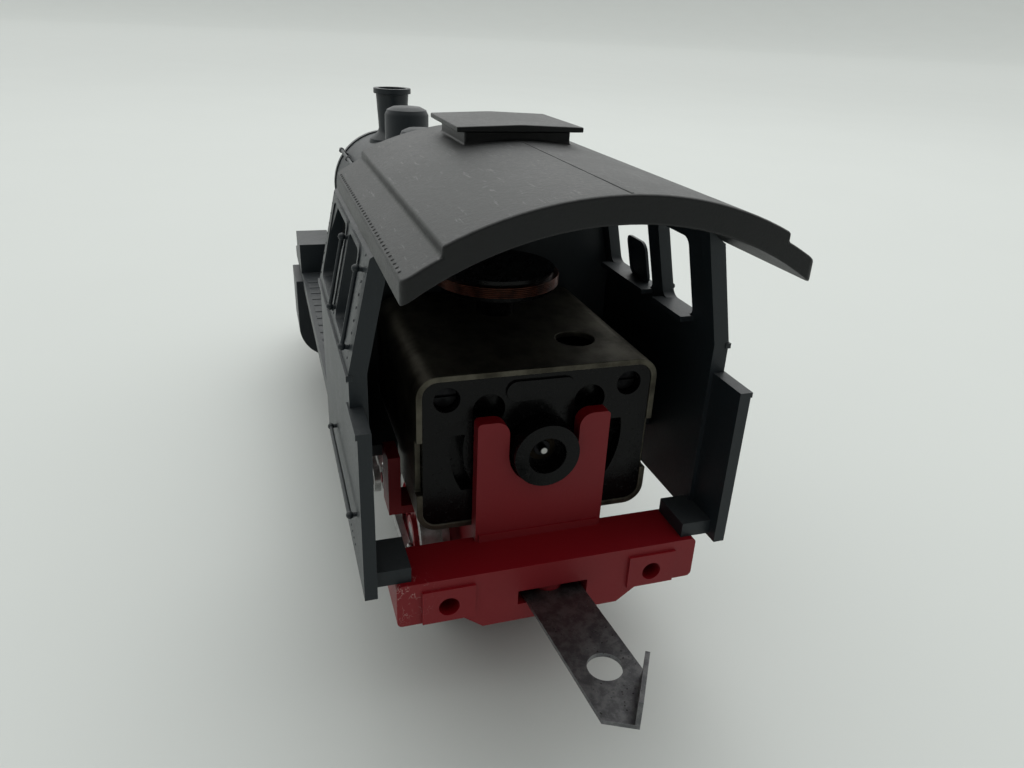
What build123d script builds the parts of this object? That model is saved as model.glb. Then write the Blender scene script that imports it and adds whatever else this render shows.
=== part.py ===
from build123d import *

import math
import os

# A 1:87 model steam locomotive of the 2-6-0 tender type, without its tender.
# Everything is in millimetres: X runs forward from the rear edge of the cab roof, Y to the
# locomotive's left and Z up from the rail. The export moves the whole model so that its
# origin is the bottom centre of its box.

# ---- Driving dimensions ------------------------------------------------------------------
AXLE_X = (26.0, 43.5, 61.0)      # rear, middle and front driving axle
DRIVE_R = 7.0                    # tread radius of a driving wheel
PONY_X = 98.0                    # leading axle
PONY_R = 4.4                     # tread radius of a leading wheel
PONY_PIVOT_X = 72.0
BACK_TO_BACK = 14.3
WHEEL_W = 2.8
FLANGE_W = 0.8
FLANGE_H = 1.0
AXLE_R = 1.25
PONY_AXLE_R = 1.0
CRANK = 3.3                      # crank throw
CRANK_PIN_R = 0.7
REST_CRANK = 205.0               # degrees of the left crank at rest, the right one leads by 90

FRAME_HALF = 6.0                 # half width of the frame between the wheels
FRAME_TOP = 14.5
AXLE_UNDER = 0.03                # frame below the axles, closed by the keeper plate
KEEPER_T = 1.0
BEAM_HALF = 14.5
BEAM_X0 = 7.9                    # rear face of the rear beam
BEAM_X1 = 13.3
BEAM_TOP = 14.8
BEAM_END_BOTTOM = 10.4
BEAM_MID_BOTTOM = 8.8
BUFFER_Y = 9.9
BUFFER_Z = 12.0
FRONT_BEAM_X = 108.5
BEAM_T = 1.5
BUFFER_L = 8.5                   # front buffer heads ahead of the front beam's rear face

CAB_X0 = 12.0                    # rear edge of the cab's rear pillar
CAB_X1 = 38.0                    # front face of the cab
CAB_WING_X = 7.4                 # rear edge of the low wing behind the pillar
CAB_WING_TOP = 30.3
CAB_HALF = 17.25                 # outer face of the cab's side below the belt
CAB_BOTTOM = 14.4
CAB_WALL = 1.1
BELT_Z = 33.2
CAB_TOP_HALF = 15.0              # outer face of the side where it meets the roof
CAB_TOP_Z = 43.6
ROOF_L = 37.3
ROOF_HALF = 15.0
ROOF_CORNER = 0.7                # rounding of the four corners
ROOF_TOP = 48.9                  # crown of the plain roof skin
ROOF_R = 27.5
ROOF_UNDER = 47.5                # crown of the roof's underside
ROOF_UNDER_R = 25.95
PANEL_HALF = 12.4                # raised centre panel of the roof
PANEL_TOP = 49.5
PANEL_R = 28.1
VENT_X = (24.0, 33.2)
VENT_HALF = 5.0
VENT_LID_Z = 50.25
VENT_LID_T = 0.45
VENT_LID_OVER = 0.9              # how far the lid stands over its box
WINDOWS = ((16.6, 22.6), (25.0, 35.4))    # rear and front side window, along X
WINDOW_Z = (34.3, 42.0)
WINDOW_ROUND = 0.8               # radius of a side window's corners
WINDOW_CUT = (2.4, 3.2)          # cut upper front corner of the front window, along X and Z
SILL_IN = 1.3                    # how far a window's sill stands into the cab
SILL_T = 0.5
PILLAR_RIB = (1.4, 0.4)          # thicker rear edge of the side: its length and extra thickness
CAB_FRONT_T = 1.0
LOOKOUT_Y = (10.0, 13.0)         # look-out window beside the boiler
LOOKOUT_Z = (36.0, 41.2)
LOOKOUT_DEPTH = 0.4              # blind recess from the front
FOOT_X = (8.4, 13.0)             # block on which the side stands on the rear beam
FOOT_H = 1.5
FOOT_IN = 1.4                    # how far the foot reaches in over the beam's end
BELT_PROUD = 0.2
RAIL_R = 0.17
KNOB_R = 0.33
KNOB_STEM_R = 0.2
RAIL_OFF = 0.55                  # from the wall's face to the rail's centre
PILLAR_RAIL_X = (14.0, 23.8)
PILLAR_RAIL_Z = (34.8, 41.2)
LOW_RAIL_X = (10.8, 27.0)
LOW_RAIL_Z = 20.9

MOTOR_X0 = 14.1                  # rear face of the motor
MOTOR_X1 = 36.0
MOTOR_HALF = 11.5
MOTOR_BOTTOM = 15.6
MOTOR_TOP = 31.4
MOTOR_STEEL = 0.6
MOTOR_CORNER = 2.0
SHAFT_Z = 23.8
SHAFT_R = 0.75
BOSS_R = 3.1
BOSS_BORE = 1.8
BOSS_X = 11.5
ROTOR_R = 5.2
MAGNET_BORE = 5.6
CHOKE_X = 29.5
CHOKE_R = 6.5
CHOKE_BORE_R = 5.1
CHOKE_Z = 34.8                   # underside of the copper winding
CHOKE_H = 1.1                    # height of the winding
CHOKE_FLANGE_T = 0.5
CHOKE_STEM_R = 2.0
CAP_X = (0.15, 2.6)              # black end cap, from the motor's rear face
BEARING_R = 1.3
MOTOR_SCREW_R = 0.6
MOTOR_SCREW_HEAD_R = 1.1
MOTOR_SCREW_IN = 2.8             # screw centre inside the case's side
MOTOR_SCREW_UNDER = 2.4          # screw centre below the case's top
CASE_HOLE_R = 1.9                # round hole in the case's top
CASE_HOLE = (6.1, -5.4)          # its centre, from the rear face and from the middle
MAGNET_INSET = (6.4, 2.5)        # magnets from the rear face and from the front face
MAGNET_Y = 3.4
COMM_AT = (3.3, 5.5)             # commutator from the motor's rear face
COMM_R = 1.9
CORE_INSET = (7.4, 3.5)          # rotor core from the rear face and from the front face
CORE_R = 2.4

MODULE = 0.4
WORM_WHEEL_TEETH = 20
IDLER_TEETH = 13
AXLE_GEAR_TEETH = 21
WORM_PITCH_R = 1.9
GEAR_HALF = 1.0                  # half width of a gear
WELL_HALF = 1.6                  # half width of the gear well
WELL_GAP = 0.25                  # gear well beyond the teeth
WORM_TURNS = 5

BOILER_Z = 31.2
BOILER_R = 8.9
BOILER_WALL = 1.0
SMOKEBOX_X = (84.0, 101.0)
SMOKEBOX_R = 9.35
FIREBOX_HALF = 7.5
FIREBOX_X1 = 56.0
BOARD_Z = 19.4                   # underside of the running board
BOARD_T = 1.2
BOARD_INSET = 0.05               # running board's edge inside the cab's outer face
BOARD_INNER = 5.5
CHIMNEY_X = 92.8
CHIMNEY_TOP = 48.4
DOME_X = 79.6
DOME_R = 3.35
DOME_TOP = 46.8
SAND_X = 69.5
SAND_R = 2.9
SAND_TOP = 44.9
BAND_X = (45.0, 57.0, 62.0, 74.5)    # boiler bands
BAND_W = 0.7
BAND_PROUD = 0.15
SMOKEBOX_WALL = 1.1
DOOR_PROUD = 1.9
VALVE_X = 51.0
PUMP_X = 66.0
PUMP_Y = 11.4
BOARD_STEP_X = (99.0, 103.5)     # where the running board slopes down to the front beam
CHEST_Y0 = 12.2                  # inner face of the valve chest
CHEST_TOP = 25.3
LAMP_R = 1.7
LAMP_HALF = 1.2
LAMP_Y = 11.0
LAMP_BACK = 2.5                  # lamps behind the front beam's rear face
BUFFER_SPIGOT_R = 0.8
BUFFER_HEAD_R = 2.9

CYL_X = (81.0, 91.0)
CYL_Y = 12.8                     # centre of the cylinder's round bottom
CYL_R = 5.5
CYL_Z = 11.3
CYL_INNER = 11.0                 # flat inner side of the cylinder block
PISTON_Y = 13.0
PISTON_Z = 10.8
PISTON_ROD_R = 0.5
PISTON_REACH = 12.3              # from the crosshead's centre to the end of its rod
CROSSHEAD_HALF = 1.6
CROSSHEAD_H = 1.3
MAIN_ROD_L = 30.0
COUPLING_ROD_Y = (10.2, 10.95)
MAIN_ROD_Y = (11.3, 12.1)

DRAWBAR_PIN_X = 9.6
DRAWBAR_PIN_R = 1.4
DRAWBAR_Z = 10.9
DRAWBAR_T = 0.4
DRAWBAR_HALF = 2.85
DRAWBAR_HOLE_R = 1.5
DRAWBAR_HOLE_AT = 11.5           # hole centre behind the pin
DRAWBAR_LEFT_L = 16.2            # where the left edge ends
DRAWBAR_TIP = (17.7, 0.36)
DRAWBAR_FOLD = 13.4              # where the fold meets the right edge
DRAWBAR_TAB = 2.4
DRAWBAR_REST = 5.0               # degrees the bar stands towards the right
SLOT_Z = (10.6, 12.1)
SLOT_HALF = 3.4

BRACKET_X = (12.5, 13.9)         # upright bracket behind the motor
BRACKET_HALF = 6.3
BRACKET_TOP = 27.2
CLIP_X = (19.0, 22.4)            # body clips beside the motor, on a bar across the frame
CLIP_GAP = 0.6                   # from the motor's side
CLIP_T = 1.2
CLIP_BAR_Z = (14.6, 15.5)
CLIP_TOP = 21.0
PAD_HALF = 2.4                   # square buffer pads on the rear beam
PAD_PROUD = 0.3
PAD_HOLE_R = 0.95
PAD_HOLE_DEPTH = 3.0
KEEPER_X = (15.0, 66.5)
KEEPER_HALF = 5.6
KEEPER_SCREW_X = (18.5, 53.5)
BAR_KEEPER_X = (9.3, 12.9)       # plate that closes the drawbar pocket from below
BAR_KEEPER_HALF = 5.6
BAR_SCREW_Y = 4.6
SCREW_R = 0.5
SCREW_L = 3.2
SCREW_HEAD_R = 0.95
SCREW_HEAD_H = 0.5
BODY_SCREW_R = 0.8
BODY_SCREW_X = 88.0
SADDLE_X = (85.0, 91.0)
NOSE_X = 86.0                    # in front of here the frame is cut back over the leading wheels
NOSE_Z = 10.6
WAIST_Z = 8.2                    # frame underside between the front axle and the nose
PIVOT_R = 1.2
PONY_FRAME_Z = (5.9, 7.3)
TOWER_TOP = 20.4
TOWER_HALF = 4.5
STUB_R = 0.7

RUN_FIT = 0.04                   # radial clearance of a running fit
SIDE_GAP = 0.2                   # end float and free gaps
SKIRT_GAP = 1.2                  # skirts over the wheels' flanges and the frame

# ---- Derived places ----------------------------------------------------------------------
WHEEL_IN = BACK_TO_BACK / 2
WHEEL_OUT = WHEEL_IN + WHEEL_W
PONY_Z = PONY_R
FRAME_BOTTOM = DRIVE_R - AXLE_R - AXLE_UNDER
BUFFER_END_X = FRONT_BEAM_X + BUFFER_L
BOARD_HALF = CAB_HALF - BOARD_INSET
WORM_WHEEL_R = MODULE * WORM_WHEEL_TEETH / 2
IDLER_R = MODULE * IDLER_TEETH / 2
AXLE_GEAR_R = MODULE * AXLE_GEAR_TEETH / 2
GEAR_X = AXLE_X[1]
WORM_WHEEL_Z = SHAFT_Z - WORM_PITCH_R - WORM_WHEEL_R


def idler_centre():
    """Centre of the idler that meshes with the worm wheel above and the axle gear below."""
    upper = WORM_WHEEL_R + IDLER_R + 0.02
    lower = AXLE_GEAR_R + IDLER_R + 0.02
    height = WORM_WHEEL_Z - DRIVE_R
    rise = (lower**2 - upper**2 + height**2) / (2 * height)
    return GEAR_X + math.sqrt(lower**2 - rise**2), DRIVE_R + rise


IDLER_X, IDLER_Z = idler_centre()
GEAR_TIP = 0.8 * MODULE          # how far a tooth stands over its pitch circle
WELL_X = (GEAR_X - AXLE_GEAR_R - GEAR_TIP - WELL_GAP, IDLER_X + IDLER_R + GEAR_TIP + WELL_GAP)
WORM_PITCH = math.pi * MODULE
WORM_FIRST = GEAR_X - 2.5 * WORM_PITCH
WORM_X1 = WORM_FIRST + WORM_TURNS * WORM_PITCH + 0.7
MOTOR_SCREW_Z = MOTOR_TOP - MOTOR_SCREW_UNDER
MOTOR_SCREW_Y = MOTOR_HALF - MOTOR_SCREW_IN
CLIP_Y = (MOTOR_HALF + CLIP_GAP, MOTOR_HALF + CLIP_GAP + CLIP_T)
COMM_X = (MOTOR_X0 + COMM_AT[0], MOTOR_X0 + COMM_AT[1])
CORE_X = (MOTOR_X0 + CORE_INSET[0], MOTOR_X1 - CORE_INSET[1])
SKIRT_Z = max(2 * DRIVE_R + FLANGE_H, FRAME_TOP) + SKIRT_GAP
CAB_LEAN = (CAB_HALF - CAB_TOP_HALF) / (CAB_TOP_Z - BELT_Z)


def crank_angle(side):
    return REST_CRANK if side > 0 else REST_CRANK + 90


def crank_pin(axle_x, side):
    """Centre of a crank pin at rest, as X and Z."""
    a = math.radians(crank_angle(side))
    return axle_x + CRANK * math.cos(a), DRIVE_R + CRANK * math.sin(a)


def crosshead_x(side):
    """Place of a crosshead at rest, from its crank and its main rod."""
    x, z = crank_pin(AXLE_X[1], side)
    return x + math.sqrt(MAIN_ROD_L**2 - (PISTON_Z - z) ** 2)


# ---- Helpers -----------------------------------------------------------------------------
def block(x, y, z):
    """Box between two X, two Y and two Z values."""
    size = [b - a for a, b in (x, y, z)]
    mid = [(a + b) / 2 for a, b in (x, y, z)]
    return Pos(*mid) * Box(*size)


def rod_x(r, x0, x1, y, z):
    return Pos((x0 + x1) / 2, y, z) * Rot(0, 90, 0) * Cylinder(r, x1 - x0)


def rod_y(r, x, y0, y1, z):
    return Pos(x, (y0 + y1) / 2, z) * Rot(90, 0, 0) * Cylinder(r, y1 - y0)


def rod_z(r, x, y, z0, z1):
    return Pos(x, y, (z0 + z1) / 2) * Cylinder(r, z1 - z0)


def prism_x(points, x0, x1):
    """Solid with a Y-Z outline, from x0 to x1."""
    face = make_face(Polyline(*[(x0, y, z) for y, z in points], close=True))
    return extrude(face, amount=x1 - x0, dir=(1, 0, 0))


def prism_y(points, y0, y1):
    """Solid with an X-Z outline, from y0 to y1."""
    face = make_face(Polyline(*[(x, y0, z) for x, z in points], close=True))
    return extrude(face, amount=y1 - y0, dir=(0, 1, 0))


def prism_z(points, z0, z1):
    """Solid with an X-Y outline, from z0 to z1."""
    face = make_face(Polyline(*[(x, y, z0) for x, y in points], close=True))
    return extrude(face, amount=z1 - z0, dir=(0, 0, 1))


def lathe_z(points, x, y):
    """Solid turned about a vertical axis from an outline of radius and height."""
    face = make_face(Polyline(*[(r, 0, z) for r, z in points], close=True))
    return Pos(x, y, 0) * revolve(face, axis=Axis.Z)


def lathe_x(points, y, z):
    """Solid turned about a fore-and-aft axis from an outline of place and radius."""
    face = make_face(Polyline(*[(x, 0, r) for x, r in points], close=True))
    return Pos(0, y, z) * revolve(face, axis=Axis.X)


def mirrored(shape):
    return mirror(shape, about=Plane.XZ)


def for_side(shape, side):
    return shape if side > 0 else mirrored(shape)


def group(*shapes):
    """Several separate solids in one node."""
    solids = []
    for s in shapes:
        solids.extend(s.solids())
    return Compound(children=solids)


def spur(teeth, x, z, half, phase=0.0):
    """Spur gear on a Y axis, its first tooth at the given angle from +X towards +Z."""
    pitch_r = MODULE * teeth / 2
    tip, root = pitch_r + 0.8 * MODULE, pitch_r - 1.1 * MODULE
    step = 2 * math.pi / teeth
    outline = []
    for i in range(teeth):
        mid = math.radians(phase) + i * step
        for share, r in ((-0.27, root), (-0.1, tip), (0.1, tip), (0.27, root)):
            a = mid + share * step
            outline.append((x + r * math.cos(a), z + r * math.sin(a)))
    return prism_y(outline, -half, half)


def cab_side_y(z):
    """Outer face of the cab's side at a height: upright to the belt, then leaning in."""
    if z <= BELT_Z:
        return CAB_HALF
    return CAB_HALF - CAB_LEAN * (z - BELT_Z)


def over_roof_underside():
    """Everything above the roof's underside, to trim what stands under the roof."""
    tall = block((-1, ROOF_L + 5), (-30, 30), (BELT_Z, ROOF_TOP + 10))
    return tall - rod_x(ROOF_UNDER_R, -2, ROOF_L + 6, 0, ROOF_UNDER - ROOF_UNDER_R)


# ---- Frame -------------------------------------------------------------------------------
def rear_beam():
    """Rear beam with its deeper chamfered middle and two buffer pads."""
    flat = 0.46 * BEAM_HALF
    chamfer = flat + 1.3 * (BEAM_END_BOTTOM - BEAM_MID_BOTTOM)
    half = [(BEAM_HALF, BEAM_TOP), (BEAM_HALF, BEAM_END_BOTTOM),
            (chamfer, BEAM_END_BOTTOM), (flat, BEAM_MID_BOTTOM)]
    beam = prism_x(half + [(-y, z) for y, z in reversed(half)], BEAM_X0, BEAM_X1)
    ends = [e for e in beam.edges().filter_by(Axis.X) if abs(e.center().Y) > BEAM_HALF - 0.01]
    beam = fillet(ends, 0.5)
    for side in (1, -1):
        y = side * BUFFER_Y
        beam += block((BEAM_X0 - PAD_PROUD, BEAM_X0 + 1), (y - PAD_HALF, y + PAD_HALF),
                      (BEAM_END_BOTTOM + 0.05, BUFFER_Z + 1.9))
        beam -= rod_x(PAD_HOLE_R, BEAM_X0 - 1, BEAM_X0 - PAD_PROUD + PAD_HOLE_DEPTH, y, BUFFER_Z)
    return beam


def motor_bracket():
    """Upright bracket behind the motor, with a round-bottomed slot for its boss."""
    x0, x1 = BRACKET_X
    slot_r = BOSS_R + 0.25
    plate = block((x0, x1), (-BRACKET_HALF, BRACKET_HALF), (BEAM_TOP - 1, BRACKET_TOP))
    plate -= rod_x(slot_r, x0 - 1, x1 + 1, 0, SHAFT_Z)
    plate -= block((x0 - 1, x1 + 1), (-slot_r, slot_r), (SHAFT_Z, BRACKET_TOP + 1))
    for reach, radius in ((slot_r, 1.3), (BRACKET_HALF, 0.4)):
        tops = [e for e in plate.edges().filter_by(Axis.X)
                if e.center().Z > BRACKET_TOP - 0.01 and abs(abs(e.center().Y) - reach) < 0.01]
        plate = fillet(tops, radius)
    return plate


def drawbar_pocket():
    """Room for the drawbar to swing, open to the rear."""
    slot = rod_z(DRAWBAR_HALF + 0.25, DRAWBAR_PIN_X, 0, *SLOT_Z)
    return slot + block((BEAM_X0 - 1, DRAWBAR_PIN_X), (-SLOT_HALF, SLOT_HALF), SLOT_Z)


def chassis_frame():
    half = (-FRAME_HALF, FRAME_HALF)
    frame = block((BEAM_X1 - 1, KEEPER_X[1] + 1.5), half, (FRAME_BOTTOM, FRAME_TOP))
    frame += block((KEEPER_X[1], NOSE_X), half, (WAIST_Z, FRAME_TOP))
    frame += block((NOSE_X - 1, FRONT_BEAM_X), half, (NOSE_Z, FRAME_TOP))
    frame += block((BEAM_X1 - 1, MOTOR_X1 + 0.7), half, (FRAME_TOP - 1, MOTOR_BOTTOM))
    frame += block(SADDLE_X, (-CYL_INNER, CYL_INNER), (NOSE_Z + 0.4, FRAME_TOP))
    tower = (WELL_X[0] - 0.6, WELL_X[1] + 0.8)
    frame += block(tower, (-TOWER_HALF, TOWER_HALF), (FRAME_TOP - 1, TOWER_TOP))
    frame += rear_beam() + motor_bracket()
    frame += block(CLIP_X, (-CLIP_Y[1], CLIP_Y[1]), CLIP_BAR_Z)
    for side in (1, -1):
        frame += block(CLIP_X, sorted((side * CLIP_Y[0], side * CLIP_Y[1])), (CLIP_BAR_Z[0], CLIP_TOP))
    slot_r = AXLE_R + RUN_FIT
    for x in AXLE_X:
        frame -= rod_y(slot_r, x, -FRAME_HALF - 1, FRAME_HALF + 1, DRIVE_R)
        across = (-FRAME_HALF - 1, FRAME_HALF + 1)
        frame -= block((x - slot_r, x + slot_r), across, (FRAME_BOTTOM - 1, DRIVE_R))
    frame -= block(WELL_X, (-WELL_HALF, WELL_HALF), (FRAME_BOTTOM - 1, TOWER_TOP + 1))
    for x, z in ((GEAR_X, WORM_WHEEL_Z), (IDLER_X, IDLER_Z)):
        frame -= rod_y(STUB_R + RUN_FIT, x, 0.3 - TOWER_HALF, TOWER_HALF - 0.3, z)
    frame -= drawbar_pocket()
    frame -= block(BAR_KEEPER_X, (-BAR_KEEPER_HALF, BAR_KEEPER_HALF), (BEAM_MID_BOTTOM - 1, SLOT_Z[0]))
    frame += rod_z(DRAWBAR_PIN_R, DRAWBAR_PIN_X, 0, SLOT_Z[0], SLOT_Z[1] + 0.5)
    frame += rod_z(PIVOT_R, PONY_PIVOT_X, 0, PONY_FRAME_Z[0] - SIDE_GAP, WAIST_Z + 0.5)
    for x, y, z in screw_places():
        frame -= rod_z(SCREW_R, x, y, z - 1, z + SCREW_L)
    frame -= rod_z(BODY_SCREW_R, BODY_SCREW_X, 0, NOSE_Z - 1, FRAME_TOP + 1)
    return frame


def screw_places():
    """Foot of each small screw: X, Y and the Z its head bears on."""
    places = [(x, 0, FRAME_BOTTOM - KEEPER_T) for x in KEEPER_SCREW_X]
    bar_x = 0.5 * sum(BAR_KEEPER_X)
    places += [(bar_x, side * BAR_SCREW_Y, BEAM_MID_BOTTOM + SCREW_HEAD_H) for side in (1, -1)]
    places.append((PONY_PIVOT_X, 0, PONY_FRAME_Z[0] - SIDE_GAP))
    return places


def keeper_plate():
    """Plate under the frame that holds the driving axles in their slots."""
    z = (FRAME_BOTTOM - KEEPER_T, FRAME_BOTTOM)
    plate = block(KEEPER_X, (-KEEPER_HALF, KEEPER_HALF), z)
    front = GEAR_X + AXLE_GEAR_R + GEAR_TIP + WELL_GAP
    plate -= block((WELL_X[0], front), (-WELL_HALF, WELL_HALF), (z[0] - 1, z[1] + 1))
    for x in KEEPER_SCREW_X:
        plate -= rod_z(SCREW_R, x, 0, z[0] - 1, z[1] + 1)
    return plate


def drawbar_keeper():
    fit = 0.05
    x0, x1 = BAR_KEEPER_X
    y = BAR_KEEPER_HALF - fit
    plate = block((x0 + fit, x1 - fit), (-y, y), (BEAM_MID_BOTTOM, SLOT_Z[0]))
    for side in (1, -1):
        x = 0.5 * (x0 + x1)
        plate -= rod_z(SCREW_R, x, side * BAR_SCREW_Y, BEAM_MID_BOTTOM - 1, SLOT_Z[0] + 1)
        head = (BEAM_MID_BOTTOM - 1, BEAM_MID_BOTTOM + SCREW_HEAD_H)
        plate -= rod_z(SCREW_HEAD_R + 0.1, x, side * BAR_SCREW_Y, *head)
    return plate


def small_screw(x, y, z):
    """Slotted screw whose head bears upwards on z."""
    under = z - SCREW_HEAD_H
    screw = rod_z(SCREW_HEAD_R, x, y, under, z) + rod_z(SCREW_R, x, y, z - 0.1, z + SCREW_L - 0.2)
    return screw - block((x - 1, x + 1), (y - 0.12, y + 0.12), (under - 0.1, under + 0.2))


def small_screws():
    return group(*[small_screw(*place) for place in screw_places()])


def body_screw():
    head = rod_z(1.4, BODY_SCREW_X, 0, NOSE_Z - 0.7, NOSE_Z)
    screw = head + rod_z(BODY_SCREW_R, BODY_SCREW_X, 0, NOSE_Z - 0.1, FRAME_TOP + 4.5)
    return screw - block((BODY_SCREW_X - 1.5, BODY_SCREW_X + 1.5), (-0.15, 0.15), (NOSE_Z - 1, NOSE_Z - 0.45))


# ---- Wheels, axles and gears --------------------------------------------------------------
def wheel(tread_r, bore_r, spokes, hub_r):
    """Wheel about the Y axis at the origin, its back at WHEEL_IN, with open spokes."""
    rim_in = tread_r - 1.3
    flange = tread_r + FLANGE_H * (1 if tread_r > 5 else 0.9)
    disc = rod_y(flange, 0, WHEEL_IN, WHEEL_IN + FLANGE_W, 0)
    disc += rod_y(tread_r, 0, WHEEL_IN, WHEEL_OUT, 0)
    disc -= rod_y(rim_in, 0, WHEEL_IN - 1, WHEEL_OUT + 1, 0)
    disc += rod_y(hub_r, 0, WHEEL_IN, WHEEL_OUT, 0)
    mid = (WHEEL_IN + 0.7, WHEEL_OUT - 0.5)
    for i in range(spokes):
        spoke = block((0, rim_in + 0.2), mid, (-0.35, 0.35))
        disc += Rot(0, i * 360 / spokes, 0) * spoke
    return disc - rod_y(bore_r, 0, WHEEL_IN - 1, WHEEL_OUT - 0.4, 0)


def drive_wheel(side):
    """Driving wheel with its crank boss, crank pin and balance weight, turned to its rest angle."""
    body = wheel(DRIVE_R, AXLE_R, 12, 2.0)
    rim_in = DRIVE_R - 1.3
    body += rod_y(1.4, CRANK, WHEEL_IN + 0.7, WHEEL_OUT, 0)
    web = block((0, CRANK), (WHEEL_IN + 0.7, WHEEL_OUT), (-1.0, 1.0))
    body += web - rod_y(AXLE_R, 0, 0, WHEEL_OUT - 0.4, 0)
    body += rod_y(CRANK_PIN_R, CRANK, WHEEL_OUT - 0.5, MAIN_ROD_Y[0] - 0.25, 0)
    weight = rod_y(rim_in + 0.2, 0, WHEEL_IN + 0.7, WHEEL_OUT - 0.3, 0)
    weight &= block((-DRIVE_R, -0.6 * rim_in), (0, 20), (-DRIVE_R, DRIVE_R))
    body += weight
    turned = Rot(0, -crank_angle(side), 0) * body
    return turned if side > 0 else mirrored(turned)


def drive_wheels(x):
    return group(*[Pos(x, 0, DRIVE_R) * drive_wheel(side) for side in (1, -1)])


def axle(x):
    half = WHEEL_OUT - 0.4
    return rod_y(AXLE_R, x, -half, half, DRIVE_R)


def mesh_phase(a, teeth_a, phase_a, b, teeth_b):
    """Phase of gear b that puts its gap on gear a's tooth along their line of centres."""
    line = math.degrees(math.atan2(b[1] - a[1], b[0] - a[0]))
    lag = (line - phase_a) % (360 / teeth_a)
    return line + 180 + lag * teeth_a / teeth_b + 180 / teeth_b


def idler_phase():
    return mesh_phase((GEAR_X, WORM_WHEEL_Z), WORM_WHEEL_TEETH, 90, (IDLER_X, IDLER_Z), IDLER_TEETH)


def worm_wheel():
    gear = spur(WORM_WHEEL_TEETH, GEAR_X, WORM_WHEEL_Z, GEAR_HALF, 90)
    stub = TOWER_HALF - 0.5
    return gear + rod_y(STUB_R, GEAR_X, -stub, stub, WORM_WHEEL_Z) + \
        rod_y(1.3, GEAR_X, 0.2 - WELL_HALF, WELL_HALF - 0.2, WORM_WHEEL_Z)


def idler_gear():
    gear = spur(IDLER_TEETH, IDLER_X, IDLER_Z, GEAR_HALF, idler_phase())
    stub = TOWER_HALF - 0.5
    return gear + rod_y(STUB_R, IDLER_X, -stub, stub, IDLER_Z) + \
        rod_y(1.1, IDLER_X, 0.2 - WELL_HALF, WELL_HALF - 0.2, IDLER_Z)


def axle_gear():
    phase = mesh_phase((IDLER_X, IDLER_Z), IDLER_TEETH, idler_phase(), (GEAR_X, DRIVE_R), AXLE_GEAR_TEETH)
    gear = spur(AXLE_GEAR_TEETH, GEAR_X, DRIVE_R, GEAR_HALF, phase)
    return gear - rod_y(AXLE_R, GEAR_X, -2, 2, DRIVE_R)


# ---- Rods and motion ----------------------------------------------------------------------
def coupling_rod(side):
    """Flat rod with an eye on each of the three crank pins of one side."""
    y0, y1 = COUPLING_ROD_Y
    pins = [crank_pin(x, side) for x in AXLE_X]
    z = pins[0][1]
    rod = block((pins[0][0], pins[-1][0]), (y0, y1), (z - 0.8, z + 0.8))
    for x, _ in pins:
        rod += rod_y(1.5, x, y0, y1, z)
    for x, _ in pins:
        rod -= rod_y(CRANK_PIN_R + RUN_FIT, x, y0 - 1, y1 + 1, z)
    return for_side(rod, side)


def main_rod(side):
    """Rod from the crosshead to the middle crank pin, tapering towards the crosshead."""
    y0, y1 = MAIN_ROD_Y
    rod = prism_y([(0, -0.6), (0, 0.6), (-MAIN_ROD_L, 0.95), (-MAIN_ROD_L, -0.95)], y0, y1)
    rod += rod_y(1.3, 0, y0, y1, 0) + rod_y(1.7, -MAIN_ROD_L, y0, y1, 0)
    rod -= rod_y(0.6 + RUN_FIT, 0, y0 - 1, y1 + 1, 0)
    rod -= rod_y(CRANK_PIN_R + 0.15, -MAIN_ROD_L, y0 - 1, y1 + 1, 0)
    x, z = crank_pin(AXLE_X[1], side)
    dip = math.degrees(math.asin((PISTON_Z - z) / MAIN_ROD_L))
    rod = Pos(crosshead_x(side), 0, PISTON_Z) * Rot(0, -dip, 0) * rod
    return for_side(rod, side)


def crosshead(side):
    """Crosshead block with its piston rod in front and the main rod's pin on its inner face."""
    x = crosshead_x(side)
    y = (MAIN_ROD_Y[1] + SIDE_GAP, 2 * PISTON_Y - MAIN_ROD_Y[1] - SIDE_GAP)
    z = (PISTON_Z - CROSSHEAD_H, PISTON_Z + CROSSHEAD_H)
    body = block((x - CROSSHEAD_HALF, x + CROSSHEAD_HALF), y, z)
    body += rod_y(0.6, x, MAIN_ROD_Y[0] - 0.1, y[0] + 0.1, PISTON_Z)
    body += rod_x(PISTON_ROD_R, x, x + PISTON_REACH, PISTON_Y, PISTON_Z)
    return for_side(body, side)


def cylinder(side):
    """Cylinder block with its two slide bars behind it."""
    x0, x1 = CYL_X
    drum = rod_x(CYL_R, x0, x1, CYL_Y, CYL_Z)
    drum += block((x0, x1), (CYL_Y - CYL_R, CYL_Y + CYL_R), (CYL_Z, BOARD_Z))
    drum &= block((x0 - 1, x1 + 1), (CYL_INNER, 30), (0, BOARD_Z))
    for cap in ((x0 - 0.5, x0 + 0.1), (x1 - 0.1, x1 + 0.5)):
        drum += rod_x(1.8, *cap, PISTON_Y, PISTON_Z)
    rear = CYL_X[0] - 13.4
    y = (PISTON_Y - 0.5, PISTON_Y + 0.5)
    for sign in (1, -1):
        z = PISTON_Z + sign * (CROSSHEAD_H + 0.4)
        drum += block((rear, x0 + 0.1), y, (z - 0.35, z + 0.35))
    drum += block((rear - 0.8, rear), y, (PISTON_Z - CROSSHEAD_H - 0.75, PISTON_Z + CROSSHEAD_H + 0.75))
    bore_end = x1 - 1.0
    drum -= rod_x(PISTON_ROD_R + RUN_FIT, x0 - 1, bore_end, PISTON_Y, PISTON_Z)
    return for_side(drum, side)


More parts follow.
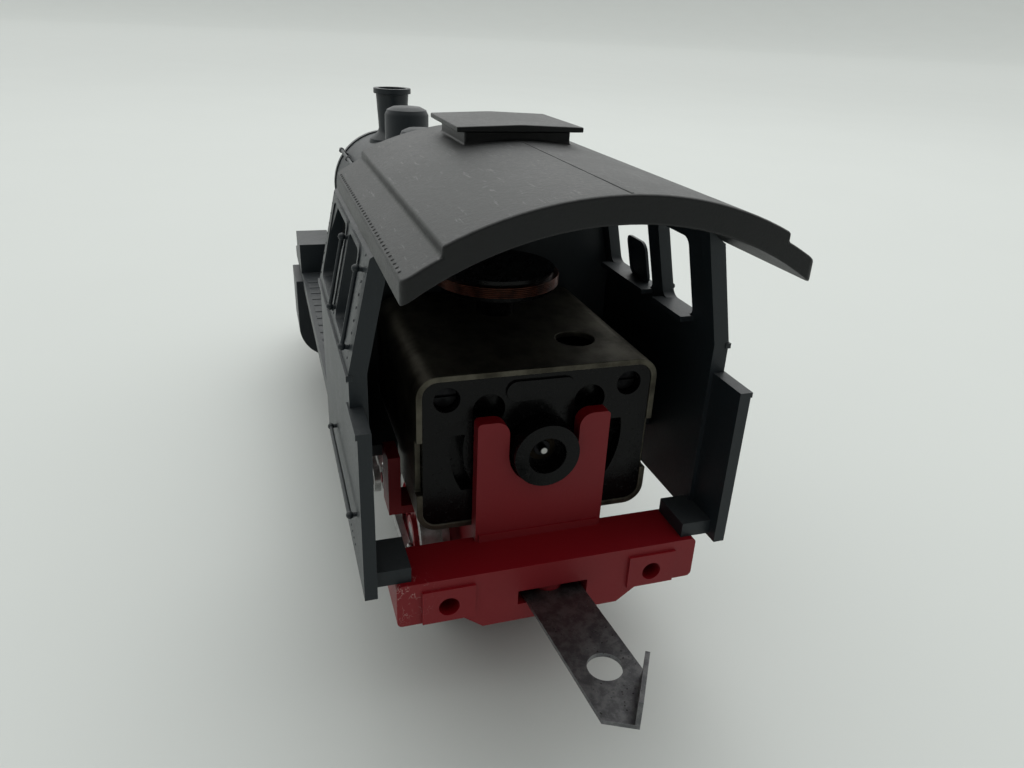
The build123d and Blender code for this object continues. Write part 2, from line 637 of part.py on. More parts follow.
# ---- Leading truck ------------------------------------------------------------------------
def pony_frame():
    z0, z1 = PONY_FRAME_Z
    arm = block((PONY_PIVOT_X, PONY_X), (-2.0, 2.0), (z0, z1)) + rod_z(2.4, PONY_PIVOT_X, 0, z0, z1)
    arm += block((PONY_X - 2.2, PONY_X + 2.2), (-4.6, 4.6), (PONY_Z - 1.6, z1))
    arm -= rod_z(PIVOT_R + RUN_FIT, PONY_PIVOT_X, 0, z0 - 1, z1 + 1)
    return arm - rod_y(PONY_AXLE_R + RUN_FIT, PONY_X, -6, 6, PONY_Z)


def pony_wheelset():
    """Leading wheels and their axle, moulded and pressed together as one piece."""
    one = Pos(PONY_X, 0, PONY_Z) * wheel(PONY_R, PONY_AXLE_R, 9, 1.5)
    half = WHEEL_OUT - 0.4
    return one + mirrored(one) + rod_y(PONY_AXLE_R, PONY_X, -half, half, PONY_Z)


# ---- Motor --------------------------------------------------------------------------------
def rounded_bar(x0, x1, half, z0, z1, radius):
    """Bar along X with four rounded corners."""
    face = Plane((x0, 0, (z0 + z1) / 2), x_dir=(0, 1, 0), z_dir=(1, 0, 0)) * \
        RectangleRounded(2 * half, z1 - z0, radius)
    return extrude(face, amount=x1 - x0, dir=(1, 0, 0))


def motor_case():
    """Folded steel case, open at both ends, notched where its side lips end."""
    t = MOTOR_STEEL
    case = rounded_bar(MOTOR_X0, MOTOR_X1, MOTOR_HALF, MOTOR_BOTTOM, MOTOR_TOP, MOTOR_CORNER)
    inside = (MOTOR_HALF - t, MOTOR_BOTTOM + t, MOTOR_TOP - t, MOTOR_CORNER - t)
    case -= rounded_bar(MOTOR_X0 - 1, MOTOR_X1 + 1, *inside)
    for side in (1, -1):
        y = sorted((side * (MOTOR_HALF - 1), side * (MOTOR_HALF + 1)))
        case -= block((MOTOR_X0 - 1, MOTOR_X0 + 0.9), y, (MOTOR_BOTTOM + 4.0, MOTOR_TOP - 6.4))
    return case - rod_z(CASE_HOLE_R, MOTOR_X0 + CASE_HOLE[0], CASE_HOLE[1], MOTOR_TOP - 2, MOTOR_TOP + 1)


def motor_end_shield():
    """Black end cap with its bearing boss, screw recesses, brush wells and two curved slots."""
    t = MOTOR_STEEL
    x0, x1 = MOTOR_X0 + CAP_X[0], MOTOR_X0 + CAP_X[1]
    cap = rounded_bar(x0, x1, MOTOR_HALF - t, MOTOR_BOTTOM + t, MOTOR_TOP - t, MOTOR_CORNER - t)
    cap += rod_x(BOSS_R, BOSS_X, x0 + 0.5, 0, SHAFT_Z)
    pad = SlotOverall(6.6, 2.0)
    pad = Plane((x0 - 0.25, 0, SHAFT_Z + 5.5), x_dir=(0, 1, 0), z_dir=(1, 0, 0)) * pad
    cap += extrude(pad, amount=0.5, dir=(1, 0, 0))
    cap -= rod_x(BOSS_BORE, BOSS_X - 1, BOSS_X + 1.6, 0, SHAFT_Z)
    cap -= rod_x(BEARING_R, BOSS_X, x1 + 1, 0, SHAFT_Z)
    for side in (1, -1):
        cap -= rod_x(1.2, x0 - 1, x0 + 1.6, side * MOTOR_SCREW_Y, MOTOR_SCREW_Z)
        cap -= rod_x(MOTOR_SCREW_R, x0, x1 + 1, side * MOTOR_SCREW_Y, MOTOR_SCREW_Z)
        cap -= rod_x(1.5, x0 - 1, x0 + 1.3, side * 4.85, SHAFT_Z + 3.9)
        ring = rod_x(8.4, x0 - 1, x0 + 1.4, 0, SHAFT_Z) - rod_x(7.2, x0 - 2, x0 + 2, 0, SHAFT_Z)
        y = sorted((side * 6.0, side * 9.0))
        cap -= ring & block((x0 - 1, x0 + 1.4), y, (SHAFT_Z - 4.2, SHAFT_Z + 1.6))
    return cap


def motor_front_plate():
    t = MOTOR_STEEL
    x0, x1 = MOTOR_X1 - 1.2, MOTOR_X1 + 0.5
    plate = rounded_bar(x0, x1, MOTOR_HALF - t, MOTOR_BOTTOM + t, MOTOR_TOP - t, MOTOR_CORNER - t)
    plate -= rod_x(BEARING_R, x0 - 1, x1 + 1, 0, SHAFT_Z)
    for side in (1, -1):
        plate -= rod_x(MOTOR_SCREW_R, x0 - 1, x1 + 1, side * MOTOR_SCREW_Y, MOTOR_SCREW_Z)
    return plate


def motor_screws():
    """Two long screws that hold the end cap to the front plate."""
    x0 = MOTOR_X0 + CAP_X[0] + 1.0
    made = []
    for side in (1, -1):
        y = side * MOTOR_SCREW_Y
        screw = rod_x(MOTOR_SCREW_HEAD_R, x0, x0 + 0.6, y, MOTOR_SCREW_Z)
        screw += rod_x(MOTOR_SCREW_R, x0, MOTOR_X1, y, MOTOR_SCREW_Z)
        slot = block((x0 - 0.1, x0 + 0.25), (y - 1.2, y + 1.2), (MOTOR_SCREW_Z - 0.14, MOTOR_SCREW_Z + 0.14))
        made.append(screw - slot)
    return group(*made)


def motor_bearings():
    rear = rod_x(BEARING_R, BOSS_X + 1.7, MOTOR_X0 + CAP_X[1], 0, SHAFT_Z)
    front = rod_x(BEARING_R, MOTOR_X1 - 1.2, MOTOR_X1 + 0.5, 0, SHAFT_Z)
    bore = rod_x(SHAFT_R + RUN_FIT, BOSS_X, MOTOR_X1 + 2, 0, SHAFT_Z)
    return group(rear - bore, front - bore)


def motor_magnets():
    """Two ferrite blocks, hollowed to the rotor, one on each side."""
    gap = 0.05
    made = []
    for side in (1, -1):
        x = (MOTOR_X0 + MAGNET_INSET[0], MOTOR_X1 - MAGNET_INSET[1])
        y = sorted((side * MAGNET_Y, side * (MOTOR_HALF - MOTOR_STEEL - gap)))
        z = (MOTOR_BOTTOM + MOTOR_STEEL + 1.5, MOTOR_SCREW_Z - MOTOR_SCREW_R - 0.2)
        made.append(block(x, y, z) - rod_x(MAGNET_BORE, x[0] - 1, x[1] + 1, 0, SHAFT_Z))
    return group(*made)


def motor_brushes():
    """Two carbon brushes in their tubes, a hair off the commutator."""
    made = []
    for side in (1, -1):
        y = sorted((side * (COMM_R + 0.05), side * 5.2))
        x = (COMM_X[0] + 0.4, COMM_X[1] - 0.4)
        made.append(block(x, y, (SHAFT_Z - 0.7, SHAFT_Z + 0.7)))
    return group(*made)


def rotor_shaft():
    """Steel shaft, its rear end turned down to a small pivot."""
    rear = BOSS_X + 1.0
    return rod_x(SHAFT_R, BOSS_X + 1.6, WORM_X1 + 0.6, 0, SHAFT_Z) + rod_x(0.4, rear, BOSS_X + 1.7, 0, SHAFT_Z)


def rotor_core():
    """Three-pole laminated core."""
    x0, x1 = CORE_X
    core = rod_x(CORE_R, x0, x1, 0, SHAFT_Z)
    shoe = rod_x(ROTOR_R, x0, x1, 0, 0) - rod_x(ROTOR_R - 0.9, x0 - 1, x1 + 1, 0, 0)
    wedge = prism_x([(0, 0), (9, 7), (9, -7)], x0, x1)
    pole = (shoe & wedge) + block((x0, x1), (0, ROTOR_R - 0.5), (-1.1, 1.1))
    for i in range(3):
        core += Pos(0, 0, SHAFT_Z) * Rot(120 * i + 90, 0, 0) * pole
    return core - rod_x(SHAFT_R, x0 - 1, x1 + 1, 0, SHAFT_Z)


def rotor_windings():
    """Copper coils in the core's slots, joined round the ends of the poles."""
    x0, x1 = CORE_X
    coil = rod_x(ROTOR_R - 1.0, x0 - 0.9, x1 + 0.9, 0, 0) - rod_x(CORE_R, x0 - 2, x1 + 2, 0, 0)
    web = block((x0 - 0.02, x1 + 0.02), (0, ROTOR_R), (-1.15, 1.15))
    for i in range(3):
        coil -= Rot(120 * i + 90, 0, 0) * web
    return Pos(0, 0, SHAFT_Z) * coil


def commutator():
    """Three copper segments on the shaft."""
    ring = rod_x(COMM_R, *COMM_X, 0, 0) - rod_x(SHAFT_R, COMM_X[0] - 1, COMM_X[1] + 1, 0, 0)
    for i in range(3):
        groove = block((COMM_X[0] - 1, COMM_X[1] + 1), (COMM_R - 0.35, COMM_R + 1), (-0.12, 0.12))
        ring -= Rot(120 * i, 0, 0) * groove
    return Pos(0, 0, SHAFT_Z) * ring


def worm():
    """Single-start worm whose thread runs in the gaps of the worm wheel."""
    root, tip = WORM_PITCH_R - 1.1 * MODULE, WORM_PITCH_R + GEAR_TIP
    length = WORM_TURNS * WORM_PITCH
    coil = Helix(pitch=WORM_PITCH, height=length, radius=root - 0.1)
    base, crest = 0.27 * WORM_PITCH, 0.1 * WORM_PITCH
    outline = [(root - 0.1, -base), (root - 0.1, base), (tip, crest), (tip, -crest)]
    profile = make_face(Polyline(*[(r, 0, z) for r, z in outline], close=True))
    thread = sweep(profile, path=coil, is_frenet=True)
    body = Cylinder(root, length + 1.4, align=(Align.CENTER, Align.CENTER, Align.MIN))
    body = Pos(0, 0, -0.7) * body + thread
    body -= Cylinder(SHAFT_R, 60)
    return Pos(WORM_FIRST, 0, SHAFT_Z) * Rot(0, 90, 0) * body


def choke_bobbin():
    """Round former of the suppressor choke, standing on the motor case."""
    z, t = CHOKE_Z, CHOKE_FLANGE_T
    top = z + CHOKE_H
    core = rod_z(CHOKE_BORE_R, CHOKE_X, 0, z - t, top + t)
    for flange in ((z - t, z), (top, top + t)):
        core += rod_z(CHOKE_R - 0.5, CHOKE_X, 0, *flange)
    return core + rod_z(CHOKE_STEM_R, CHOKE_X, 0, MOTOR_TOP, z)


def choke_winding():
    z = CHOKE_Z
    return rod_z(CHOKE_R, CHOKE_X, 0, z, z + CHOKE_H) - rod_z(CHOKE_BORE_R, CHOKE_X, 0, z - 1, z + CHOKE_H + 1)


# ---- Cab ----------------------------------------------------------------------------------
def cab_wall_band(outer, inner, x0, x1, top):
    """Upright skin that leans in above the belt, between two offsets from the outer face."""
    points = [(CAB_HALF - outer, CAB_BOTTOM), (CAB_HALF - outer, BELT_Z), (cab_side_y(top) - outer, top),
              (cab_side_y(top) - inner, top), (CAB_HALF - inner, BELT_Z), (CAB_HALF - inner, CAB_BOTTOM)]
    return prism_x(points, x0, x1)


def window_cut(x):
    """Round-cornered opening through the side, between two X values."""
    at = Plane(((x[0] + x[1]) / 2, 0, sum(WINDOW_Z) / 2), x_dir=(1, 0, 0), z_dir=(0, -1, 0))
    face = at * RectangleRounded(x[1] - x[0], WINDOW_Z[1] - WINDOW_Z[0], WINDOW_ROUND)
    return extrude(face, amount=2 * CAB_HALF, dir=(0, 1, 0))


def cab_side(side):
    """Side with its rear wing, belt, two windows with sills, a foot on the beam and a strip of floor."""
    top = CAB_TOP_Z + 1
    skin = cab_wall_band(0, CAB_WALL, CAB_X0, CAB_X1, top)
    inner = CAB_HALF - CAB_WALL
    wall = skin + cab_wall_band(0, CAB_WALL + PILLAR_RIB[1], CAB_X0, CAB_X0 + PILLAR_RIB[0], top)
    wall += block((CAB_WING_X, CAB_X0 + 0.1), (inner, CAB_HALF), (CAB_BOTTOM, CAB_WING_TOP))
    wall += block((CAB_WING_X, CAB_X0 + 1.2), (inner, CAB_HALF + 0.15), (CAB_WING_TOP - 0.5, CAB_WING_TOP))
    wall += block((CAB_X0 - 0.1, CAB_X1), (CAB_HALF - 0.3, CAB_HALF + BELT_PROUD), (BELT_Z - 0.5, BELT_Z))
    for x in WINDOWS:
        wall -= window_cut(x)
        sill_y = cab_side_y(WINDOW_Z[0]) - CAB_WALL
        wall += block(x, (sill_y - SILL_IN, sill_y + 0.3), (WINDOW_Z[0] - SILL_T, WINDOW_Z[0]))
    front, high = WINDOWS[1][1], WINDOW_Z[1] + 0.1
    corner = [(front, WINDOW_Z[1] - WINDOW_CUT[1]), (front, high), (front - WINDOW_CUT[0], high)]
    wall += prism_y(corner, 0, 2 * CAB_HALF) & skin
    wall += block(FOOT_X, (BEAM_HALF - FOOT_IN, inner + 0.1), (BEAM_TOP, BEAM_TOP + FOOT_H))
    floor = (CLIP_X[1] + SIDE_GAP, CAB_X1 - CAB_FRONT_T)
    wall += block(floor, (MOTOR_HALF + SIDE_GAP, inner + 0.1), (BOARD_Z, BOARD_Z + BOARD_T))
    wall -= over_roof_underside()
    return for_side(wall, side)


def cab_front_wall():
    """Front wall with the shaft opening and two recessed look-out panes beside the boiler."""
    x0, x1 = CAB_X1 - CAB_FRONT_T, CAB_X1
    inner = CAB_HALF - CAB_WALL
    lean_y = cab_side_y(CAB_TOP_Z) - CAB_WALL
    half = [(inner, SKIRT_Z), (inner, BELT_Z), (lean_y, CAB_TOP_Z), (lean_y - 1.2, ROOF_TOP)]
    wall = prism_x(half + [(-y, z) for y, z in reversed(half)], x0, x1)
    wall -= over_roof_underside()
    for side in (1, -1):
        wall -= block((x1 - LOOKOUT_DEPTH, x1 + 1), sorted(side * y for y in LOOKOUT_Y), LOOKOUT_Z)
    return wall - rod_x(BEARING_R * 2, x0 - 1, x1 + 1, 0, SHAFT_Z)


def cab_roof():
    """Arched roof: a skin with a raised centre panel, deep edges and the ventilator box."""
    skin = rod_x(ROOF_R, 0, ROOF_L, 0, ROOF_TOP - ROOF_R)
    above = (CAB_WING_TOP, PANEL_TOP + 1)
    panel = block((0, ROOF_L), (-PANEL_HALF, PANEL_HALF), above)
    skin += rod_x(PANEL_R, 0, ROOF_L, 0, PANEL_TOP - PANEL_R) & panel
    outline = Pos(ROOF_L / 2, 0, above[0]) * RectangleRounded(ROOF_L, 2 * ROOF_HALF, ROOF_CORNER)
    skin &= extrude(outline, amount=above[1] - above[0])
    skin -= rod_x(ROOF_UNDER_R, -1, ROOF_L + 1, 0, ROOF_UNDER - ROOF_UNDER_R)
    vent = block(VENT_X, (-VENT_HALF, VENT_HALF), (ROOF_UNDER + 0.4, VENT_LID_Z))
    return skin + vent


def roof_vent_lid():
    """Slightly pitched lid with a raised seam along its middle."""
    half = VENT_HALF + VENT_LID_OVER
    z, t = VENT_LID_Z, VENT_LID_T
    section = [(-half, z), (half, z), (half, z + t), (0.25, z + t + 0.2), (-0.25, z + t + 0.2), (-half, z + t)]
    return prism_x(section, VENT_X[0] - VENT_LID_OVER, VENT_X[1] + VENT_LID_OVER)


def handrail(a, b, outward):
    """Rail between two points on the wall's face, held off it by a knob at each end."""
    off = Vector(*outward).normalized() * RAIL_OFF
    a, b = Vector(*a), Vector(*b)
    rail = Solid.make_cylinder(RAIL_R, (b - a).length, Plane(a + off, z_dir=(b - a)))
    for p in (a, b):
        rail += Solid.make_cylinder(KNOB_STEM_R, RAIL_OFF, Plane(p, z_dir=off))
        rail += Pos(*(p + off)) * Sphere(KNOB_R)
    return rail


def cab_handrails():
    rails = []
    for x in PILLAR_RAIL_X:
        low, high = PILLAR_RAIL_Z
        rails.append(handrail((x, cab_side_y(low), low), (x, cab_side_y(high), high), (0, 1, CAB_LEAN)))
    x0, x1 = LOW_RAIL_X
    rails.append(handrail((x0, CAB_HALF, LOW_RAIL_Z), (x1, CAB_HALF, LOW_RAIL_Z), (0, 1, 0)))
    return group(*rails, *[mirrored(r) for r in rails])


# ---- Boiler and its fittings --------------------------------------------------------------
def tube_x(r, wall, x0, x1):
    return rod_x(r, x0, x1, 0, BOILER_Z) - rod_x(r - wall, x0 - 1, x1 + 1, 0, BOILER_Z)


def boiler_shell():
    """Hollow boiler barrel with the firebox skirt that covers the gear tower."""
    x0, x1 = CAB_X1, SMOKEBOX_X[0]
    outer = rod_x(BOILER_R, x0, x1, 0, BOILER_Z)
    outer += block((x0, FIREBOX_X1), (-FIREBOX_HALF, FIREBOX_HALF), (SKIRT_Z, BOILER_Z))
    for x in BAND_X:
        outer += rod_x(BOILER_R + BAND_PROUD, x, x + BAND_W, 0, BOILER_Z)
    inside = FIREBOX_HALF - BOILER_WALL
    outer -= rod_x(BOILER_R - BOILER_WALL, x0 - 1, x1 + 1, 0, BOILER_Z)
    outer -= block((x0 - 1, FIREBOX_X1 - BOILER_WALL), (-inside, inside), (SKIRT_Z - 1, BOILER_Z - 1))
    return outer


def smokebox():
    """Smokebox tube, closed at the rear, on its saddle over the frame."""
    x0, x1 = SMOKEBOX_X
    drum = rod_x(SMOKEBOX_R, x0, x1, 0, BOILER_Z)
    drum += rod_x(SMOKEBOX_R + 0.2, x1 - 1.2, x1, 0, BOILER_Z)
    drum += block((SADDLE_X[0], SADDLE_X[1] + 3), (-BOARD_INNER, BOARD_INNER), (FRAME_TOP, BOILER_Z - 5))
    drum -= rod_x(SMOKEBOX_R - SMOKEBOX_WALL, x0 + 1.2, x1 + 1, 0, BOILER_Z)
    drum -= rod_z(BODY_SCREW_R, BODY_SCREW_X, 0, FRAME_TOP - 1, FRAME_TOP + 4.6)
    return drum


def smokebox_door():
    """Dished door plate with two hinge straps and its locking handle."""
    x, spigot = SMOKEBOX_X[1], SMOKEBOX_R - SMOKEBOX_WALL - 0.05
    rim, dish = SMOKEBOX_R + 0.2, 0.73 * SMOKEBOX_R
    outline = [(x - 1.5, 0), (x - 1.5, spigot), (x, spigot), (x, rim), (x + 0.5, rim - 0.2), (x + 0.6, dish),
               (x + 1.2, dish - 0.8), (x + 1.7, dish / 2), (x + DOOR_PROUD, 0)]
    door = lathe_x(outline, 0, BOILER_Z)
    for dz in (2.2, -2.2):
        door += block((x + 0.3, x + 1.6), (-1.5, dish - 0.2), (BOILER_Z + dz - 0.35, BOILER_Z + dz + 0.35))
    door += rod_x(0.5, x + 1, x + DOOR_PROUD + 1, 0, BOILER_Z)
    handle = (x + DOOR_PROUD + 0.4, x + DOOR_PROUD + 0.9)
    return door + block(handle, (-0.25, 0.25), (BOILER_Z - 2.6, BOILER_Z))


def seated(shape, r):
    """A fitting cut to sit on the drum of the given radius."""
    return shape - rod_x(r, -5, 130, 0, BOILER_Z)


def chimney():
    """Chimney that widens upwards, with a rim at the top and a flared foot."""
    foot = BOILER_Z + SMOKEBOX_R
    outline = [(0, foot - 2), (4.2, foot - 2), (3.9, foot - 0.2), (2.6, foot + 0.8), (2.35, foot + 1.5),
               (2.7, CHIMNEY_TOP - 0.9), (3.1, CHIMNEY_TOP - 0.8), (3.1, CHIMNEY_TOP), (2.3, CHIMNEY_TOP),
               (2.0, foot + 1.0), (0, foot + 1.0)]
    return seated(lathe_z(outline, CHIMNEY_X, 0), SMOKEBOX_R)


def dome(x, r, top):
    """Round dome with a flared foot and a soft upper edge."""
    foot = BOILER_Z + BOILER_R
    outline = [(0, foot - 2.5), (r + 0.9, foot - 2.5), (r + 0.8, foot - 0.7), (r, foot + 0.5), (r, top - 1.2),
               (r - 0.35, top - 0.45), (r - 1.2, top - 0.05), (0, top)]
    return seated(lathe_z(outline, x, 0), BOILER_R)


def safety_valves():
    """Pair of safety valves on one seat."""
    foot = BOILER_Z + BOILER_R
    seat = block((VALVE_X - 1.6, VALVE_X + 1.6), (-2.2, 2.2), (foot - 1.5, foot + 0.5))
    outline = [(0, foot), (0.9, foot), (0.9, foot + 1.1), (0.55, foot + 1.3), (0.55, foot + 2.4),
               (0, foot + 2.6)]
    for y in (1.2, -1.2):
        seat += lathe_z(outline, VALVE_X, y)
    return seated(seat, BOILER_R)


def air_pump():
    """Two-stage air pump on its bracket at the left of the boiler."""
    z0 = BOARD_Z + BOARD_T
    pump = rod_z(1.7, PUMP_X, PUMP_Y, z0 + 1.0, z0 + 6.2) + rod_z(1.3, PUMP_X, PUMP_Y, z0, z0 + 1.2)
    pump += rod_z(1.1, PUMP_X, PUMP_Y, z0 + 6.0, z0 + 8.0) + rod_z(1.5, PUMP_X, PUMP_Y, z0 + 7.8, z0 + 12.0)
    pump += rod_z(0.9, PUMP_X, PUMP_Y, z0 + 11.8, z0 + 13.0)
    bracket = block((PUMP_X - 1.2, PUMP_X + 1.2), (BOILER_R - 1.5, PUMP_Y), (BOILER_Z - 3.4, BOILER_Z - 2.4))
    return seated(pump + bracket, BOILER_R)


def ballast_weight():
    """Cast weight that fills the boiler barrel in front of the gear tower."""
    r = BOILER_R - BOILER_WALL - RUN_FIT
    return rod_x(r, FIREBOX_X1 + 0.5, SMOKEBOX_X[0] - 0.3, 0, BOILER_Z)


# ---- Running boards and the front end -----------------------------------------------------
def running_board(side):
    """Side plate beside the boiler, with the valve chest on it, stepping down to the front beam."""
    x0, x1 = CAB_X1, BOARD_STEP_X[0]
    top = BOARD_Z + BOARD_T
    board = block((x0, x1), (BOARD_INNER, BOARD_HALF), (BOARD_Z, top))
    board -= block((x0 - 1, FIREBOX_X1), (0, FIREBOX_HALF), (BOARD_Z - 1, top + 1))
    low = FRAME_TOP + BOARD_T
    slope = [(x1 - 0.1, BOARD_Z), (x1 - 0.1, top), (x1, top), (BOARD_STEP_X[1], low), (FRONT_BEAM_X, low),
             (FRONT_BEAM_X, FRAME_TOP), (BOARD_STEP_X[1] - 0.8, FRAME_TOP), (x1 - 0.9, BOARD_Z)]
    board += prism_y(slope, 0.05, BEAM_HALF)
    board -= rod_x(SMOKEBOX_R + 0.25, x1 - 2, x1 + 3, 0, BOILER_Z)
    board += block((CYL_X[0] + 0.6, CYL_X[1]), (CHEST_Y0, BOARD_HALF + 0.1), (top - 0.1, CHEST_TOP))
    board += rod_x(1.6, CYL_X[1] - 0.1, CYL_X[1] + 0.9, 14.8, top + 2.4)
    for a, b in ((x0, CYL_X[0]), (CYL_X[1], x1)):
        board += block((a, b), (BOARD_HALF - 0.6, BOARD_HALF), (BOARD_Z - 0.6, BOARD_Z + 0.1))
    return for_side(board, side)


def front_beam():
    """Front buffer beam with its hook plate."""
    x0 = FRONT_BEAM_X
    beam = block((x0, x0 + BEAM_T), (-BEAM_HALF, BEAM_HALF), (8.6, FRAME_TOP + BOARD_T))
    beam = fillet(beam.edges().filter_by(Axis.X), 0.6)
    for side in (1, -1):
        beam -= rod_x(BUFFER_SPIGOT_R, x0 - 1, x0 + BEAM_T + 1, side * BUFFER_Y, BUFFER_Z)
    beam += block((x0 + BEAM_T - 0.1, x0 + BEAM_T + 0.5), (-1.6, 1.6), (10.6, 13.4))
    hook = [(0, -0.4), (2.0, -0.4), (3.0, 0.6), (2.6, 1.2), (2.0, 0.6), (0, 0.6)]
    at = x0 + BEAM_T + 0.4
    return beam + prism_y([(at + x, BUFFER_Z + z) for x, z in hook], -0.4, 0.4)


def front_buffers():
    x0 = FRONT_BEAM_X
    xb = x0 + BEAM_T
    made = []
    for side in (1, -1):
        outline = [(x0 + 0.1, 0), (x0 + 0.1, BUFFER_SPIGOT_R), (xb, BUFFER_SPIGOT_R), (xb, 2.0),
                   (xb + 0.6, 2.0), (xb + 0.8, 1.6), (xb + 3.4, 1.35), (xb + 3.4, 0.95), (BUFFER_END_X - 1.0, 0.95),
                   (BUFFER_END_X - 1.0, BUFFER_HEAD_R - 0.2), (BUFFER_END_X - 0.5, BUFFER_HEAD_R),
                   (BUFFER_END_X - 0.1, BUFFER_HEAD_R - 0.7), (BUFFER_END_X, 0)]
        made.append(lathe_x(outline, side * BUFFER_Y, BUFFER_Z))
    return group(*made)


def lamp_places():
    """Centre of each lamp and the height it stands on."""
    low = FRAME_TOP + BOARD_T
    return [(FRONT_BEAM_X - LAMP_BACK, y, low + 2.4, low) for y in (LAMP_Y, -LAMP_Y)]


def headlamps():
    made = []
    for x, y, z, foot in lamp_places():
        lamp = rod_x(LAMP_R, x - LAMP_HALF, x + LAMP_HALF, y, z)
        lamp += block((x - 0.7, x + 0.7), (y - 0.7, y + 0.7), (foot, z))
        lamp += rod_z(0.6, x, y, z + LAMP_R - 0.3, z + LAMP_R + 0.6)
        lamp -= rod_x(LAMP_R - 0.35, x + 0.7, x + 2, y, z)
        made.append(lamp)
    return group(*made)


def lamp_lenses():
    made = []
    for x, y, z, _ in lamp_places():
        r = LAMP_R - 0.35
        made.append(lathe_x([(x + 0.7, 0), (x + 0.7, r), (x + 1.1, r), (x + 1.4, 0.6 * r), (x + 1.5, 0)], y, z))
    return group(*made)


# ---- Drawbar ------------------------------------------------------------------------------
def drawbar():
    """Flat steel bar to the tender, with its eye, a round hole and a folded-up corner tab."""
    w, z0, t = DRAWBAR_HALF, DRAWBAR_Z, DRAWBAR_T
    tip_l, tip_y = DRAWBAR_TIP
    # the bar is drawn pointing rearwards from its pin, with its left edge at positive Y
    bar = prism_z([(0, w), (-DRAWBAR_LEFT_L, w), (-tip_l, tip_y), (-DRAWBAR_FOLD, -w), (0, -w)], z0, z0 + t)
    bar += rod_z(w, 0, 0, z0, z0 + t)
    a, b = Vector(-tip_l, tip_y, z0), Vector(-DRAWBAR_FOLD, -w, z0)
    along = (b - a).normalized()
    inward = Vector(-along.Y, along.X, 0)
    inward = inward if inward.X > 0 else inward * -1
    foot = [a, a + inward * t, b + inward * t, b]
    tab = prism_z([(p.X, p.Y) for p in foot], z0, z0 + DRAWBAR_TAB + t)
    bar += tab
    bar -= rod_z(DRAWBAR_PIN_R + RUN_FIT, 0, 0, z0 - 1, z0 + 2)
    bar -= rod_z(DRAWBAR_HOLE_R, -DRAWBAR_HOLE_AT, 0, z0 - 1, z0 + 2)
    return Pos(DRAWBAR_PIN_X, 0, 0) * Rot(0, 0, DRAWBAR_REST) * bar


# ---- Build and export ---------------------------------------------------------------------
def build():
    parts = {
        "chassis_frame": chassis_frame(),
        "keeper_plate": keeper_plate(),
        "drawbar_keeper": drawbar_keeper(),
        "small_screws": small_screws(),
        "body_screw": body_screw(),
        "motor_case": motor_case(),
        "motor_end_shield": motor_end_shield(),
        "motor_front_plate": motor_front_plate(),
        "motor_screws": motor_screws(),
        "motor_bearings": motor_bearings(),
        "motor_magnets": motor_magnets(),
        "motor_brushes": motor_brushes(),
        "choke_bobbin": choke_bobbin(),
        "choke_winding": choke_winding(),
        "rotor_shaft": rotor_shaft(),
        "rotor_core": rotor_core(),
        "rotor_windings": rotor_windings(),
        "commutator": commutator(),
        "worm": worm(),
        "worm_wheel": worm_wheel(),
        "idler_gear": idler_gear(),
        "axle_gear": axle_gear(),
        "pony_frame": pony_frame(),
        "pony_wheelset": pony_wheelset(),
        "cab_front_wall": cab_front_wall(),
        "cab_roof": cab_roof(),
        "roof_vent_lid": roof_vent_lid(),
        "cab_handrails": cab_handrails(),
        "boiler_shell": boiler_shell(),
        "smokebox": smokebox(),
        "smokebox_door": smokebox_door(),
        "chimney": chimney(),
        "steam_dome": dome(DOME_X, DOME_R, DOME_TOP),
        "sand_dome": dome(SAND_X, SAND_R, SAND_TOP),
        "safety_valves": safety_valves(),
        "air_pump": air_pump(),
        "ballast_weight": ballast_weight(),
        "front_beam": front_beam(),
        "front_buffers": front_buffers(),
        "headlamps": headlamps(),
        "lamp_lenses": lamp_lenses(),
        "drawbar": drawbar(),
    }
    for name, x in zip(("rear", "middle", "front"), AXLE_X):
        parts[f"axle_{name}"] = axle(x)
        parts[f"drive_wheels_{name}"] = drive_wheels(x)
    for name, side in (("left", 1), ("right", -1)):
        parts[f"cab_side_{name}"] = cab_side(side)
        parts[f"running_board_{name}"] = running_board(side)
        parts[f"cylinder_{name}"] = cylinder(side)
        parts[f"crosshead_{name}"] = crosshead(side)
        parts[f"main_rod_{name}"] = main_rod(side)
        parts[f"coupling_rod_{name}"] = coupling_rod(side)
    return parts


def origin_shift(parts):
    """Move that puts the bottom centre of the whole model's box at the origin."""
    boxes = [p.bounding_box() for p in parts.values()]
    low = [min(getattr(b.min, axis) for b in boxes) for axis in "XYZ"]
    high = [max(getattr(b.max, axis) for b in boxes) for axis in "XYZ"]
    return Pos(-(low[0] + high[0]) / 2, -(low[1] + high[1]) / 2, -low[2])


if __name__ == "__main__":
    os.makedirs("parts", exist_ok=True)
    made = build()
    shift = origin_shift(made)
    for node, shape in made.items():
        export_step(shift * shape, f"parts/{node}.step")
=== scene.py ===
import math

import bmesh
import bpy
from mathutils import Matrix, Vector


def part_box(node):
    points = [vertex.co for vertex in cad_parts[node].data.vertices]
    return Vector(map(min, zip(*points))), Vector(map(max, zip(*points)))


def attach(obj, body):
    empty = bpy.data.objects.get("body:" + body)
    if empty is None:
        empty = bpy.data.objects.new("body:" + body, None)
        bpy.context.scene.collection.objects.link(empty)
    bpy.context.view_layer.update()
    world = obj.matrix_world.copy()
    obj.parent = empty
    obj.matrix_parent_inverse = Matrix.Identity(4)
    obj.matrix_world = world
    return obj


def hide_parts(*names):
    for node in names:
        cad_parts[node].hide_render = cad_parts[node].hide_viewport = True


bl_info = {
    "name": "Model Steam Locomotive",
    "version": (1, 0, 0),
    "blender": (4, 5, 0),
    "location": "3D View > Sidebar > Locomotive",
    "description": "Finishes and fine detail for a small 2-6-0 model steam locomotive",
    "category": "Object",
}

